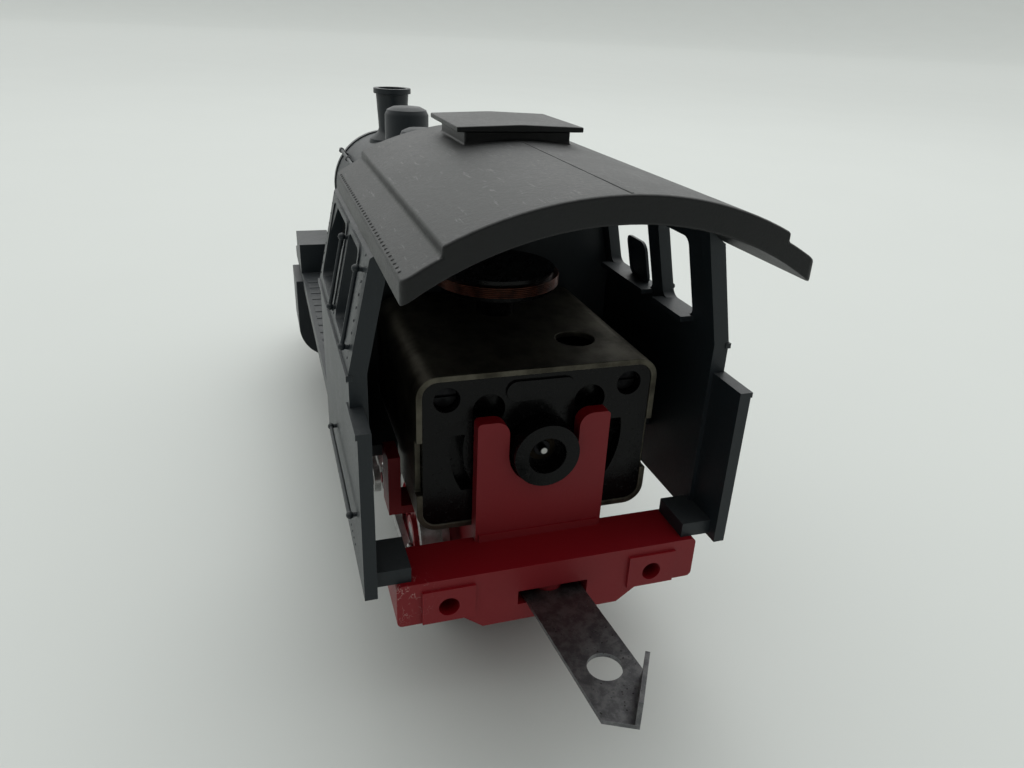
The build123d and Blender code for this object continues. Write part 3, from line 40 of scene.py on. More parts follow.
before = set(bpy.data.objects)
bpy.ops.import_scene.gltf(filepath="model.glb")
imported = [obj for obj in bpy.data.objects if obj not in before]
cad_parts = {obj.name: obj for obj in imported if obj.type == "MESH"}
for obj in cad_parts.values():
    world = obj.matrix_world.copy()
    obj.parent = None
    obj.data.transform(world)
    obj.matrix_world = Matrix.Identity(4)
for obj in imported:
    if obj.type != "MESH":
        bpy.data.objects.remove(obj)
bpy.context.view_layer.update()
MM = 0.001
REAR_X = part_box("cab_roof")[0].x                       # rear edge of the cab roof
RAIL_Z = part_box("drive_wheels_middle")[0].z + 1.0 * MM  # the flanges reach 1 mm below the rail


def at(x, y, z):
    """Point in the row frame from millimetres: forward of the roof's rear edge, to the left, above the rail."""
    return Vector((REAR_X + x * MM, y * MM, RAIL_Z + z * MM))


def forward_of_roof(value):
    """Millimetres forward of the roof's rear edge of an X in the row frame."""
    return (value - REAR_X) / MM


def above_rail(value):
    """Millimetres above the rail of a Z in the row frame."""
    return (value - RAIL_Z) / MM


# Sizes and places below are in millimetres, forward of the roof's rear edge and above the rail.
ROOF_L = forward_of_roof(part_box("cab_roof")[1].x)
ROOF_R = 27.5
ROOF_CENTRE = 48.9 - ROOF_R       # height of the roof's arc centre
ROOF_RIVET_Y = 14.72
ROOF_SEAMS = ((0.3, 23.0), (34.4, ROOF_L - 0.3))  # behind and ahead of the ventilator
SEAM_HALF, SEAM_Z = 0.1, (49.4, 49.54)
CAB_HALF = 17.25
BELT_Z = 33.2                     # the cab's sides lean inward above this height
CAB_LEAN = 2.25 / 10.4
WINDOWS = ((16.6, 22.6), (25.0, 35.4))
WINDOW_Z = (34.3, 42.0)
WINDOW_R, FRAME_WIDTH, FRAME_STANDS = 0.8, 0.42, 0.14
PILLARS = (13.0, 23.8, 36.8)
PILLAR_RIVETS, PILLAR_PITCH = 9, 1.05
BELT_RIVETS, BELT_PITCH = 24, 1.03
PANE, PANE_Z, PANE_R, PANE_RIM = (26.8, 31.2), (34.2, 38.7), 0.9, 0.35
PANE_DEPTH = 0.75                 # from the side's face in to the half-height pane
CHOKE_INNER_R = 5.65
SMOKEBOX_R = (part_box("smokebox")[1].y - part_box("smokebox")[0].y) / 2 / MM - 0.2
BOILER_Z = above_rail(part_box("smokebox_door")[1].z) - SMOKEBOX_R - 0.2
BOILER_R = 8.9
BOARD_TOP = 20.6
RAIL_AT, RAIL_STANDS = math.radians(38), 10.6  # angle above level, and distance from the boiler's axis
RAIL_KNOBS = (41, 53, 65, 77, 88, 97)
PLUG_AT, PLUGS = 0.35, (47.5, 50.5, 53.5)      # washout plugs: angle above level in radians, and X
SMOKEBOX_RIVET_ROWS, SMOKEBOX_RIVETS = (85.2, 99.3), 44
FRONT_BEAM_FACE = 110.0
BUFFER_Y = 9.9
TREADS, TREAD_X, TREAD_PITCH, TREAD_L = 14, 40.5, 2.75, 1.9
TREAD_Y = (12.4, 16.6)
ROD_BOSS_R = 1.5                  # boss of a coupling rod around its crank pin
STEAM_PIPE_R, FEED_PIPE_R, HOSE_R = 0.55, 0.36, 0.42

# The stage: camera and light in millimetres, with the camera's yaw, pitch and roll in degrees.
CAMERA_AT, CAMERA_TURN = (-44.543, 22.547, 58.894), (18.559, 24.969, -2.674)
SOFTBOX_AT, SOFTBOX_AIM, SOFTBOX_SIZE = (280, -160, 620), (90, 0, 0), 0.5
BRIGHT_SIDE = (0.62, -0.12, 0.775)  # direction of the room's bright end
FLOOR_FLAT, FLOOR_BEND, FLOOR_RISE = 3200.0, 2600.0, 40  # level disc, curve around it, and its degrees
SIDES = (("left", 1), ("right", -1))
AXLES = (("rear", 26.0), ("middle", 43.5), ("front", 61.0))
DRIVE_AXLE_Z, DRIVE_TYRE_R, DRIVE_HUB_R = 7.0, 5.78, 1.27
LEADING_AXLE, LEADING_TYRE_R, LEADING_HUB_R = (98.0, 4.4), 3.2, 1.02
SHAFT_Z = 23.8
SCRAPE = (7.9, 14.0, 13.4)        # scraped corner of the rear beam
VENT_SHADE_X = 20                      # painted shade: darker patch on the roof behind the ventilator


# ---- Finishes: shader maths as plain expressions --------------------------------------------
class Value:
    """One output socket, on which arithmetic adds Math nodes."""

    def __init__(self, finish, socket):
        self.finish, self.socket = finish, socket

    def math(self, operation, *others):
        return self.finish.math(operation, self, *others)

    def __add__(self, other):
        return self.math("ADD", other)

    def __sub__(self, other):
        return self.math("SUBTRACT", other)

    def __mul__(self, other):
        return self.math("MULTIPLY", other)

    def __pow__(self, other):
        return self.math("POWER", other)

    def __rsub__(self, other):
        return self.finish.math("SUBTRACT", other, self)

    __radd__, __rmul__ = __add__, __mul__

    def step(self, low, high):
        """0 below low, 1 above high, smooth in between."""
        made = self.finish.add("ShaderNodeMapRange", {"interpolation_type": "SMOOTHSTEP"},
                               {"Value": self, "From Min": low, "From Max": high})
        return made[0]


class Made:
    """A node that was added, whose outputs are values."""

    def __init__(self, finish, node):
        self.finish, self.node = finish, node

    def __getitem__(self, key):
        return Value(self.finish, self.node.outputs[key])


class Shading:
    """A node tree to which nodes and maths are added."""

    def __init__(self, tree):
        self.tree = tree

    def feed(self, socket, value):
        """Links a value, or sets a plain number or colour, on a socket."""
        if isinstance(value, Value):
            self.tree.links.new(value.socket, socket)
        elif hasattr(value, "__len__") and len(socket.default_value) == 4:
            socket.default_value = (*value[:3], 1.0)
        else:
            socket.default_value = value

    def add(self, kind, settings=None, sockets=None):
        """A node of that type, its settings, and then its sockets' values or links."""
        node = self.tree.nodes.new(kind)
        for key, value in (settings or {}).items():
            setattr(node, key, value)
        for key, value in (sockets or {}).items():
            self.feed(node.inputs[key], value)
        return Made(self, node)

    def math(self, operation, *values):
        return self.add("ShaderNodeMath", {"operation": operation}, dict(enumerate(values)))[0]


class Finish(Shading):
    """One material with its Principled shader, and the values that every surface offers."""

    def __init__(self, name, colour, roughness, metallic=0.0):
        self.material = bpy.data.materials.new(name)
        self.material.use_nodes = True
        super().__init__(self.material.node_tree)
        self.shader = self.tree.nodes["Principled BSDF"]
        self.put("Base Color", colour)
        self.put("Roughness", roughness)
        self.put("Metallic", metallic)
        self.material.diffuse_color = (*colour, 1.0)

    def put(self, name, value):
        self.feed(self.shader.inputs[name], value)

    def place(self):
        """The point on the object in millimetres."""
        spot = self.add("ShaderNodeTexCoord")["Object"]
        return self.add("ShaderNodeVectorMath", {"operation": "SCALE"}, {0: spot, "Scale": 1 / MM})[0]

    def stretched(self, x, y, z):
        """The point in millimetres, multiplied along each axis."""
        return self.add("ShaderNodeVectorMath", {"operation": "MULTIPLY"}, {0: self.place(), 1: (x, y, z)})[0]

    def axes(self, vector):
        parts = self.add("ShaderNodeSeparateXYZ", None, {0: vector})
        return parts[0], parts[1], parts[2]

    def noise(self, scale, detail=3.0, roughness=0.55, vector=None):
        sockets = {"Vector": vector or self.place(), "Scale": scale, "Detail": detail, "Roughness": roughness}
        return self.add("ShaderNodeTexNoise", None, sockets)[0]

    def specks(self, scale, radius):
        """1 inside scattered round specks."""
        near = self.add("ShaderNodeTexVoronoi", None, {"Vector": self.place(), "Scale": scale})["Distance"]
        return 1 - near.step(radius * 0.6, radius)

    def facing_up(self):
        return self.axes(self.add("ShaderNodeNewGeometry")["Normal"])[2]

    def edges(self, radius):
        """1 along outer and inner edges, within a radius in millimetres."""
        soft = self.add("ShaderNodeBevel", {"samples": 4}, {"Radius": radius * MM})[0]
        flat = self.add("ShaderNodeNewGeometry")["Normal"]
        dot = self.add("ShaderNodeVectorMath", {"operation": "DOT_PRODUCT"}, {0: soft, 1: flat})["Value"]
        return (1 - dot).step(0.02, 0.2)

    def blend(self, factor, first, second):
        """A colour between two colours."""
        return self.add("ShaderNodeMix", {"data_type": "RGBA"}, {0: factor, 6: first, 7: second})[2]

    def blend_over(self, factor, colour):
        """Lays a colour over what Base Color already has."""
        before = Value(self, self.shader.inputs["Base Color"].links[0].from_socket)
        self.put("Base Color", self.blend(factor, before, colour))

    def bump(self, height, depth):
        """Relief of that depth in millimetres."""
        self.put("Normal", self.add("ShaderNodeBump", None, {"Height": height, "Distance": depth * MM})["Normal"])


def moulded(name, colour, roughness, dust, dust_colour, grain=0.012):
    """Moulded plastic: fine skin, uneven gloss, dust on what faces up and rubbed edges."""
    f = Finish(name, colour, roughness)
    cloud = f.noise(0.16, 5.0, 0.6)
    fine = f.noise(2.6, 3.0, 0.7)
    patchy = cloud.step(0.3, 0.72) * 0.5 + fine.step(0.3, 0.7) * 0.3 + 0.25
    settled = f.facing_up().step(0.35, 0.98) * patchy * dust
    fluff = f.specks(0.55, 0.12) * f.noise(0.4).step(0.5, 0.62) * f.facing_up().step(-0.2, 0.5) * dust
    worn = f.edges(0.12) * f.noise(0.9).step(0.35, 0.7) * 0.4
    shade = f.blend(cloud * 0.5, colour, tuple(c * 0.72 for c in colour))
    shade = f.blend(settled + fluff * 0.7, shade, dust_colour)
    f.put("Base Color", f.blend(worn, shade, tuple(c * 2.5 + 0.03 for c in colour)))
    f.put("Roughness", settled * 0.22 + fine * 0.16 + cloud * 0.12 + (roughness - 0.14))
    f.put("Specular IOR Level", 0.3)
    f.bump(fine + f.noise(9.0) * 0.5, grain)
    return f


def finish_body_black():
    moulded("body_black", (0.0125, 0.017, 0.0205), 0.42, 0.36, (0.095, 0.099, 0.099))


def finish_roof_black():
    """The roof also has painted shade, a darker patch behind its ventilator, and fine scratches."""
    f = moulded("roof_black", (0.0036, 0.0042, 0.0046), 0.44, 0.46, (0.10, 0.104, 0.102), 0.03)
    x, y, _ = f.axes(f.place())
    centre = at(VENT_SHADE_X, 0, 0) / MM
    near = ((x - centre.x) ** 2 * 1.6 + (y - centre.y) ** 2 * 0.25) ** 0.5
    # Painted shade: the roof is darkened in a patch just behind the ventilator.
    vent_shade = (1 - near.step(1.5, 4.5)) * f.noise(0.5, 4.0).step(0.3, 0.6)
    drawn = f.stretched(0.25, 2.4, 2.4)
    scratch = f.noise(1.4, 4.0, 0.7, drawn).step(0.62, 0.66) * f.facing_up().step(0.5, 0.9)
    f.blend_over(vent_shade * 0.6, (0.012, 0.013, 0.014))
    f.blend_over(scratch * 0.3, (0.2, 0.2, 0.2))


def finish_frame_red():
    red = (0.2, 0.0034, 0.008)
    f = Finish("frame_red", red, 0.48)
    cloud = f.noise(0.22, 4.0)
    fine = f.noise(3.2, 3.0, 0.7)
    x, y, z = f.axes(f.place())
    corner = at(*SCRAPE) / MM
    spread = ((x - corner.x) ** 2 + (y - corner.y) ** 2 * 0.9 + (z - corner.z) ** 2 * 1.2) ** 0.5
    hair = f.math("ABSOLUTE", f.noise(0.85, 3.0, 0.6, f.stretched(0.8, 1.3, 0.9)) - 0.5)
    scrape = (1 - hair.step(0.004, 0.016)) * f.noise(0.9, 3.0).step(0.42, 0.6)
    scratched = (1 - spread.step(0.8, 3.6)) * scrape
    worn = f.edges(0.14) * f.noise(0.8).step(0.3, 0.75) * 0.3
    shade = f.blend(cloud * 0.6, red, (0.15, 0.0025, 0.006))
    # Painted light: faces that stand upright or face down are paled a little towards pink-grey, as if lit from the
    # pale floor.
    shade = f.blend((1 - f.facing_up().step(-0.2, 0.5)) * 0.06, shade, (0.3, 0.2, 0.2))
    shade = f.blend(worn, shade, (0.34, 0.035, 0.045))
    f.put("Base Color", f.blend(scratched * 0.6, shade, (0.5, 0.33, 0.31)))
    f.put("Roughness", fine * 0.18 + scratched * 0.2 + 0.38)
    f.put("Specular IOR Level", 0.24)
    f.bump(fine + scratched * 0.6, 0.014)


def finish_motor_steel():
    f = Finish("motor_steel", (0.1, 0.094, 0.076), 0.4, 1.0)
    rolled = f.noise(1.2, 4.0, 0.6, f.stretched(0.25, 3.0, 3.0))
    stain = f.noise(0.28, 5.0, 0.65)
    edge = f.edges(0.16)
    shade = f.blend(stain.step(0.35, 0.7), (0.115, 0.107, 0.084), (0.045, 0.041, 0.032))
    f.put("Base Color", f.blend(edge * 0.7, shade, (0.34, 0.325, 0.275)))
    f.put("Roughness", stain * 0.22 + rolled * 0.12 + 0.36)
    f.bump(rolled, 0.006)


def finish_shield_black():
    f = Finish("shield_black", (0.004, 0.004, 0.0045), 0.26)
    cloud = f.noise(0.5, 5.0, 0.65)
    oil = f.noise(0.9, 4.0).step(0.45, 0.62)
    dirt = f.noise(1.8, 5.0, 0.7).step(0.55, 0.7)
    f.put("Base Color", f.blend(dirt * 0.5, (0.0018, 0.0018, 0.002), (0.009, 0.0088, 0.0085)))
    f.put("Specular IOR Level", 0.14)
    f.put("Roughness", cloud * 0.2 + dirt * 0.22 + 0.14 - oil * 0.06)
    f.bump(f.noise(4.0) + dirt * 0.5, 0.01)


def finish_metal(name, dark, light, roughness, scale, depth=0.006):
    """Bare metal with tool marks and uneven tarnish."""
    f = Finish(name, light, roughness, 1.0)
    tarnish = f.noise(scale, 5.0, 0.62)
    marks = f.noise(5.0, 2.0, 0.6, f.stretched(1.0, 0.2, 1.0))
    f.put("Base Color", f.blend(tarnish.step(0.35, 0.68), light, dark))
    f.put("Roughness", tarnish * 0.2 + marks * 0.14 + (roughness - 0.15))
    f.bump(marks, depth)
    return f


def finish_copper():
    # Painted shade: the copper is made far darker than bare copper, for the shade it sits in under the cab roof.
    f = finish_metal("copper", (0.03, 0.01, 0.007), (0.115, 0.038, 0.022), 0.42, 0.8)
    f.put("Coat Weight", 0.3)


def finish_drawbar_steel():
    f = Finish("drawbar_steel", (0.11, 0.11, 0.115), 0.42, 1.0)
    mottle = f.noise(0.9, 6.0, 0.7)
    pits = f.specks(2.2, 0.22) * f.noise(1.0).step(0.45, 0.6)
    bright = f.noise(5.5, 4.0, 0.8).step(0.6, 0.68)
    edge = f.edges(0.08)
    shade = f.blend(mottle.step(0.4, 0.62), (0.115, 0.115, 0.12), (0.19, 0.19, 0.193))
    shade = f.blend(bright * 0.7, shade, (0.28, 0.28, 0.285))
    shade = f.blend(pits * 0.8, shade, (0.03, 0.027, 0.026))
    f.put("Base Color", f.blend(edge * 0.6, shade, (0.26, 0.26, 0.27)))
    f.put("Roughness", mottle * 0.2 + pits * 0.2 + 0.3)
    f.bump(mottle - pits, 0.02)


def finish_shaft():
    """Ground shaft whose end is painted dark, as painted shade in its boss, but for the bare centre mark."""
    f = Finish("shaft", (0.5, 0.5, 0.5), 0.3, 1.0)
    x, y, z = f.axes(f.place())
    centre = at(0, 0, SHAFT_Z) / MM
    reach = (y ** 2 + (z - centre.z) ** 2) ** 0.5
    end = 1 - x.step(at(14, 0, 0).x / MM, at(16, 0, 0).x / MM)
    # Painted shade: the shaft's end is near-black outside its bare centre mark.
    shaded_end = end * reach.step(0.24, 0.34)
    grime = f.noise(0.9, 4.0)
    ground = f.blend(grime, (0.56, 0.555, 0.55), (0.36, 0.35, 0.335))
    f.put("Base Color", f.blend(shaded_end, ground, (0.012, 0.012, 0.013)))
    f.put("Roughness", grime * 0.2 + 0.2)


def finish_ferrite():
    f = Finish("ferrite", (0.055, 0.055, 0.06), 0.72)
    grit = f.noise(4.0, 5.0, 0.7)
    f.put("Base Color", f.blend(grit, (0.04, 0.04, 0.043), (0.09, 0.09, 0.095)))
    f.put("Roughness", grit * 0.2 + 0.6)
    f.bump(grit, 0.02)


def finish_nylon():
    f = Finish("nylon", (0.72, 0.68, 0.56), 0.45)
    cloud = f.noise(0.6, 4.0)
    f.put("Base Color", f.blend(cloud, (0.74, 0.71, 0.6), (0.60, 0.55, 0.42)))
    f.put("Roughness", cloud * 0.2 + 0.34)
    f.put("Subsurface Weight", 0.25)
    f.put("Subsurface Radius", (0.0012, 0.001, 0.0007))


def finish_carbon():
    f = Finish("carbon", (0.02, 0.02, 0.021), 0.5)
    grit = f.noise(6.0, 4.0)
    f.put("Base Color", f.blend(grit, (0.014, 0.014, 0.015), (0.05, 0.05, 0.052)))
    f.put("Roughness", grit * 0.3 + 0.35)


def finish_glass(name, tint, roughness):
    """Clear moulded plastic with faint flow marks."""
    f = Finish(name, tint, roughness)
    f.put("Transmission Weight", 0.9)
    f.put("IOR", 1.49)
    flow = f.noise(0.8, 2.0)
    f.put("Roughness", flow * 0.08 + roughness)
    f.bump(flow, 0.01)


def finish_wheel(name, axle_x, axle_z, tyre_r, hub_r):
    """Red moulded wheel with a plated tyre and axle end, told apart by distance from the axle."""
    f = Finish(name, (0.24, 0.007, 0.013), 0.45)
    x, _, z = f.axes(f.place())
    centre = at(axle_x, 0, axle_z) / MM
    reach = ((x - centre.x) ** 2 + (z - centre.z) ** 2) ** 0.5
    plated = reach.step(tyre_r - 0.06, tyre_r + 0.06)
    bare = plated + (1 - reach.step(hub_r - 0.05, hub_r + 0.05))
    grime = f.noise(0.7, 5.0, 0.65)
    red = f.blend(grime.step(0.4, 0.75), (0.24, 0.007, 0.013), (0.13, 0.008, 0.010))
    steel = f.blend(grime.step(0.35, 0.7), (0.56, 0.555, 0.55), (0.30, 0.29, 0.275))
    f.put("Base Color", f.blend(bare, red, steel))
    f.put("Metallic", bare)
    f.put("Roughness", grime * 0.2 + 0.36 - bare * 0.14)
    f.bump(f.noise(3.0, 3.0, 0.7), 0.01)


FINISH_OF = {
    "body_black": ["cab_side_left", "cab_side_right", "cab_front_wall", "cab_handrails", "boiler_shell", "smokebox",
                   "smokebox_door", "chimney", "steam_dome", "sand_dome", "air_pump", "headlamps",
                   "running_board_left", "running_board_right", "cylinder_left", "cylinder_right"],
    "roof_black": ["cab_roof", "roof_vent_lid"],
    "frame_red": ["chassis_frame", "front_beam", "pony_frame", "keeper_plate", "drawbar_keeper"],
    "motor_steel": ["motor_case", "motor_front_plate", "rotor_core"],
    "shield_black": ["motor_end_shield", "choke_bobbin"],
    "ferrite": ["motor_magnets"],
    "copper": ["choke_winding", "rotor_windings", "commutator"],
    "brass": ["worm", "safety_valves"],
    "bright_steel": ["small_screws", "body_screw", "axle_rear", "axle_middle", "axle_front", "coupling_rod_left",
                     "coupling_rod_right", "main_rod_left", "main_rod_right",
                     "crosshead_left", "crosshead_right"],
    "drawbar_steel": ["drawbar"],
    "zinc": ["ballast_weight"],
    "lens": ["lamp_lenses"],
    "nylon": ["worm_wheel", "idler_gear", "axle_gear"],
    "carbon": ["motor_brushes"],
    "buffer_black": ["front_buffers"],
}
EDGE_MM = {
    "cab_roof": 0.22, "roof_vent_lid": 0.1, "front_beam": 0.12, "drawbar": 0.05,
    "motor_case": 0.1, "motor_end_shield": 0.14, "cab_side_left": 0.09, "cab_side_right": 0.09,
    "smokebox_door": 0.08, "chimney": 0.1, "steam_dome": 0.12, "sand_dome": 0.12, "running_board_left": 0.1,
    "running_board_right": 0.1, "cylinder_left": 0.2, "cylinder_right": 0.2, "cab_front_wall": 0.1,
}


def clean_shading(mesh, angle=32.0):
    """Smooth shading with sharp edges where faces meet at more than the angle."""
    if "custom_normal" in mesh.attributes:
        mesh.attributes.remove(mesh.attributes["custom_normal"])
    mesh.polygons.foreach_set("use_smooth", [True] * len(mesh.polygons))
    mesh.set_sharp_from_angle(angle=math.radians(angle))


def soften(obj, width):
    """Small real rounds on the sharp edges of a carried-over part."""
    weld = obj.modifiers.new("Weld", "WELD")
    weld.merge_threshold = 1e-6
    flat = obj.modifiers.new("Flats", "DECIMATE")
    flat.decimate_type, flat.angle_limit = "DISSOLVE", math.radians(0.6)
    bevel = obj.modifiers.new("Rounds", "BEVEL")
    bevel.width, bevel.segments = width * MM, 2
    bevel.limit_method, bevel.angle_limit = "ANGLE", math.radians(38)
    bevel.harden_normals = True
    bevel.use_clamp_overlap = True


# ---- Mesh building ---------------------------------------------------------------------------
def lathe(bm, outline, centre, axis, segments=48):
    """Turned shape from an outline of distance along the axis and radius, in millimetres."""
    spin = Vector((0, 0, 1)).rotation_difference(Vector(axis)).to_matrix().to_4x4()
    rings = []
    for along, r in outline:
        if r < 1e-6:
            rings.append([bm.verts.new((0, 0, along * MM))])
            continue
        turn = [2 * math.pi * i / segments for i in range(segments)]
        rings.append([bm.verts.new((r * MM * math.cos(a), r * MM * math.sin(a), along * MM)) for a in turn])
    for low, high in zip(rings, rings[1:]):
        for i in range(segments):
            j = (i + 1) % segments
            corners = [low[i % len(low)], low[j % len(low)], high[j % len(high)], high[i % len(high)]]
            unique = list(dict.fromkeys(corners))
            if len(unique) > 2:
                bm.faces.new(unique)
    verts = [v for ring in rings for v in ring]
    bmesh.ops.transform(bm, matrix=Matrix.Translation(centre) @ spin, verts=verts)


def bar(bm, low, high, edge=0.06):
    """Block between two corners in millimetres, with rounded edges."""
    made = bmesh.ops.create_cube(bm, size=1.0)["verts"]
    a, b = at(*low), at(*high)
    size = Vector([abs(p - q) for p, q in zip(a, b)])
    bmesh.ops.transform(bm, matrix=Matrix.Translation((a + b) / 2) @ Matrix.Diagonal((*size, 1)), verts=made)
    edges = list({e for v in made for e in v.link_edges})
    bmesh.ops.bevel(bm, geom=edges, offset=edge * MM, segments=2, affect="EDGES", profile=0.6)


def rivet(bm, spot, normal, r=0.16, height=0.6):
    """Round head on a surface, flatter than a half ball."""
    outline = [(0, r), (0.45 * r * height, r * 0.92), (0.8 * r * height, r * 0.6), (r * height, 0)]
    lathe(bm, outline, spot, normal, 10)


def sheet_ring(bm, outer, inner, place, thick):
    """Flat frame between two outlines of as many points each; place maps a 2-D point and an offset."""
    loops = [[bm.verts.new(place(*p, off)) for p in line] for line in (outer, inner) for off in (0, thick)]
    out_low, out_high, in_low, in_high = loops
    n = len(outer)
    for i in range(n):
        j = (i + 1) % n
        for a, b in ((out_low, out_high), (out_high, in_high), (in_high, in_low), (in_low, out_low)):
            bm.faces.new((a[i], a[j], b[j], b[i]))


def round_rect(x0, x1, z0, z1, r, steps=5):
    """Outline of a rectangle with rounded corners."""
    points = []
    for cx, cz, start in ((x1 - r, z1 - r, 0), (x0 + r, z1 - r, 90), (x0 + r, z0 + r, 180), (x1 - r, z0 + r, 270)):
        for i in range(steps + 1):
            a = math.radians(start + 90 * i / steps)
            points.append((cx + r * math.cos(a), cz + r * math.sin(a)))
    return points


def link_object(name, data):
    """Object in the scene made from its data."""
    obj = bpy.data.objects.new(name, data)
    bpy.context.scene.collection.objects.link(obj)
    return obj


def mesh_object(name, bm, material, angle):
    """Object made from finished mesh data."""
    mesh = bpy.data.meshes.new(name)
    bm.to_mesh(mesh)
    bm.free()
    mesh.materials.append(material)
    clean_shading(mesh, angle)
    return link_object(name, mesh)


def publish(name, bm, finish, body="locomotive", replaces=(), angle=32.0):
    """Turns finished mesh data into a piece that rides on its body."""
    bmesh.ops.recalc_face_normals(bm, faces=bm.faces)
    obj = mesh_object(name, bm, bpy.data.materials[finish], angle)
    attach(obj, body)
    if replaces:
        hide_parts(*replaces)


def pipe(name, points, radius, finish):
    """Bent rod or pipe of the body along points in millimetres."""
    line = bpy.data.curves.new(name, "CURVE")
    line.dimensions = "3D"
    spline = line.splines.new("NURBS")
    spline.points.add(len(points) - 1)
    for p, q in zip(spline.points, points):
        p.co = (*at(*q), 1.0)
    spline.order_u, spline.use_endpoint_u = 3, True
    line.bevel_depth, line.bevel_resolution, line.use_fill_caps = radius * MM, 3, True
    line.resolution_u = 8
    line.materials.append(bpy.data.materials[finish])
    obj = link_object(name, line)
    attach(obj, "locomotive")


def side_y(z):
    """Outer face of the cab's side at a height."""
    return CAB_HALF - max(0.0, z - BELT_Z) * CAB_LEAN


def side_normal(z, side):
    return Vector((0, side, CAB_LEAN if z > BELT_Z else 0)).normalized()


def on_side(side):
    """Places a point of the cab's side from X, Z and how far it stands off the face."""
    def place(x, z, off):
        return at(x, side * (side_y(z) + off), z)
    return place


def roof_z(y):
    """Top of the roof's skin at a distance from its middle."""
    return ROOF_CENTRE + math.sqrt(ROOF_R**2 - y * y)


# ---- Properties ------------------------------------------------------------------------------
class LocoStageSettings(bpy.types.PropertyGroup):
    floor_colour: bpy.props.FloatVectorProperty(
        name="Floor colour", description="Colour of the seamless floor", default=(0.575, 0.60, 0.58),
        size=3, min=0.0, max=1.0, subtype="COLOR")
    lens: bpy.props.FloatProperty(
        name="Lens", description="Focal length of the camera", default=27.134, min=10.0, max=200.0,
        unit="CAMERA")
    sky: bpy.props.FloatProperty(
        name="Room light", description="Strength of the light from ahead and above", default=1.3, min=0.0,
        subtype="FACTOR", soft_max=3.0)
    softbox: bpy.props.FloatProperty(
        name="Softbox", description="Power of the large soft light", default=1.0, min=0.0, unit="POWER")


class LocoDetailSettings(bpy.types.PropertyGroup):
    rivet_pitch: bpy.props.FloatProperty(
        name="Rivet pitch", description="Distance between the rivets along the roof", default=0.9 * MM,
        min=0.3 * MM, subtype="DISTANCE", unit="LENGTH")
    rail_radius: bpy.props.FloatProperty(
        name="Handrail radius", description="Radius of the boiler handrails", default=0.26 * MM,
        min=0.1 * MM, subtype="DISTANCE", unit="LENGTH")
    wire_turns: bpy.props.IntProperty(
        name="Wire turns", description="Turns of wire that show on the choke", default=6, min=1, max=20,
        subtype="UNSIGNED")


class LOCO_OT_finishes(bpy.types.Operator):
    """Make every finish and put one on each part of the locomotive"""

    bl_idname = "loco.finishes"
    bl_label = "Finishes"

    def execute(self, context):
        for plain in list(bpy.data.materials):
            plain.name = "plain_" + plain.name
        finish_body_black()
        finish_roof_black()
        finish_frame_red()
        finish_motor_steel()
        finish_shield_black()
        finish_ferrite()
        finish_copper()
        finish_metal("brass", (0.34, 0.22, 0.08), (0.66, 0.47, 0.20), 0.32, 0.7)
        # Painted shade: near-black copies of brass and bright steel, for the motor's bearings and screws in the
        # shade under the cab roof.
        finish_metal("dark_bronze", (0.008, 0.0065, 0.005), (0.02, 0.016, 0.011), 0.5, 0.9)
        finish_metal("oiled_steel", (0.006, 0.006, 0.0065), (0.018, 0.018, 0.019), 0.45, 0.9)
        finish_shaft()
        finish_metal("bright_steel", (0.30, 0.295, 0.285), (0.58, 0.575, 0.57), 0.32, 0.6)
        finish_drawbar_steel()
        finish_metal("zinc", (0.16, 0.16, 0.165), (0.30, 0.30, 0.31), 0.55, 0.9, 0.02)
        finish_nylon()
        finish_carbon()
        finish_metal("buffer_black", (0.018, 0.018, 0.02), (0.045, 0.045, 0.047), 0.38, 0.6)
        finish_glass("lens", (0.93, 0.91, 0.84), 0.04)
        for name, x in AXLES:
            finish_wheel(f"wheel_{name}", x, DRIVE_AXLE_Z, DRIVE_TYRE_R, DRIVE_HUB_R)
        finish_wheel("wheel_leading", *LEADING_AXLE, LEADING_TYRE_R, LEADING_HUB_R)
        for slot, nodes in FINISH_OF.items():
            for node in nodes:
                self.dress(node, slot, slot)
        for name, _ in AXLES:
            self.dress(f"drive_wheels_{name}", f"wheel_{name}", "frame_red")
        self.dress("pony_wheelset", "wheel_leading", "frame_red")
        # The motor's bearings, screws and shaft end carry painted shade in place of their bright metal.
        self.dress("motor_bearings", "dark_bronze", "brass")
        self.dress("motor_screws", "oiled_steel", "bright_steel")
        self.dress("rotor_shaft", "shaft", "bright_steel")
        return {"FINISHED"}

    def dress(self, node, finish, slot):
        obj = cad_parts[node]
        obj.data.materials.clear()
        obj.data.materials.append(bpy.data.materials[finish])
        clean_shading(obj.data)
        if obj.name in EDGE_MM:
            soften(obj, EDGE_MM[obj.name])


class LOCO_OT_roof_detail(bpy.types.Operator):
    """Add the roof's rivet rows and its seam behind and ahead of the ventilator"""

    bl_idname = "loco.roof_detail"
    bl_label = "Roof detail"

    def execute(self, context):
        pitch = context.scene.loco_detail.rivet_pitch / MM
        bm = bmesh.new()
        count = int((ROOF_L - 3.0) / pitch)
        for _, side in SIDES:
            y = ROOF_RIVET_Y
            normal = Vector((0, side * y, roof_z(y) - ROOF_CENTRE)).normalized()
            for i in range(count):
                spot = at(1.8 + i * pitch, side * y, roof_z(y) - 0.01)
                rivet(bm, spot, normal, 0.15)
        publish("roof_rivets", bm, "roof_black")
        bm = bmesh.new()
        for x0, x1 in ROOF_SEAMS:
            bar(bm, (x0, -SEAM_HALF, SEAM_Z[0]), (x1, SEAM_HALF, SEAM_Z[1]), 0.03)
        publish("roof_seam", bm, "roof_black")
        return {"FINISHED"}


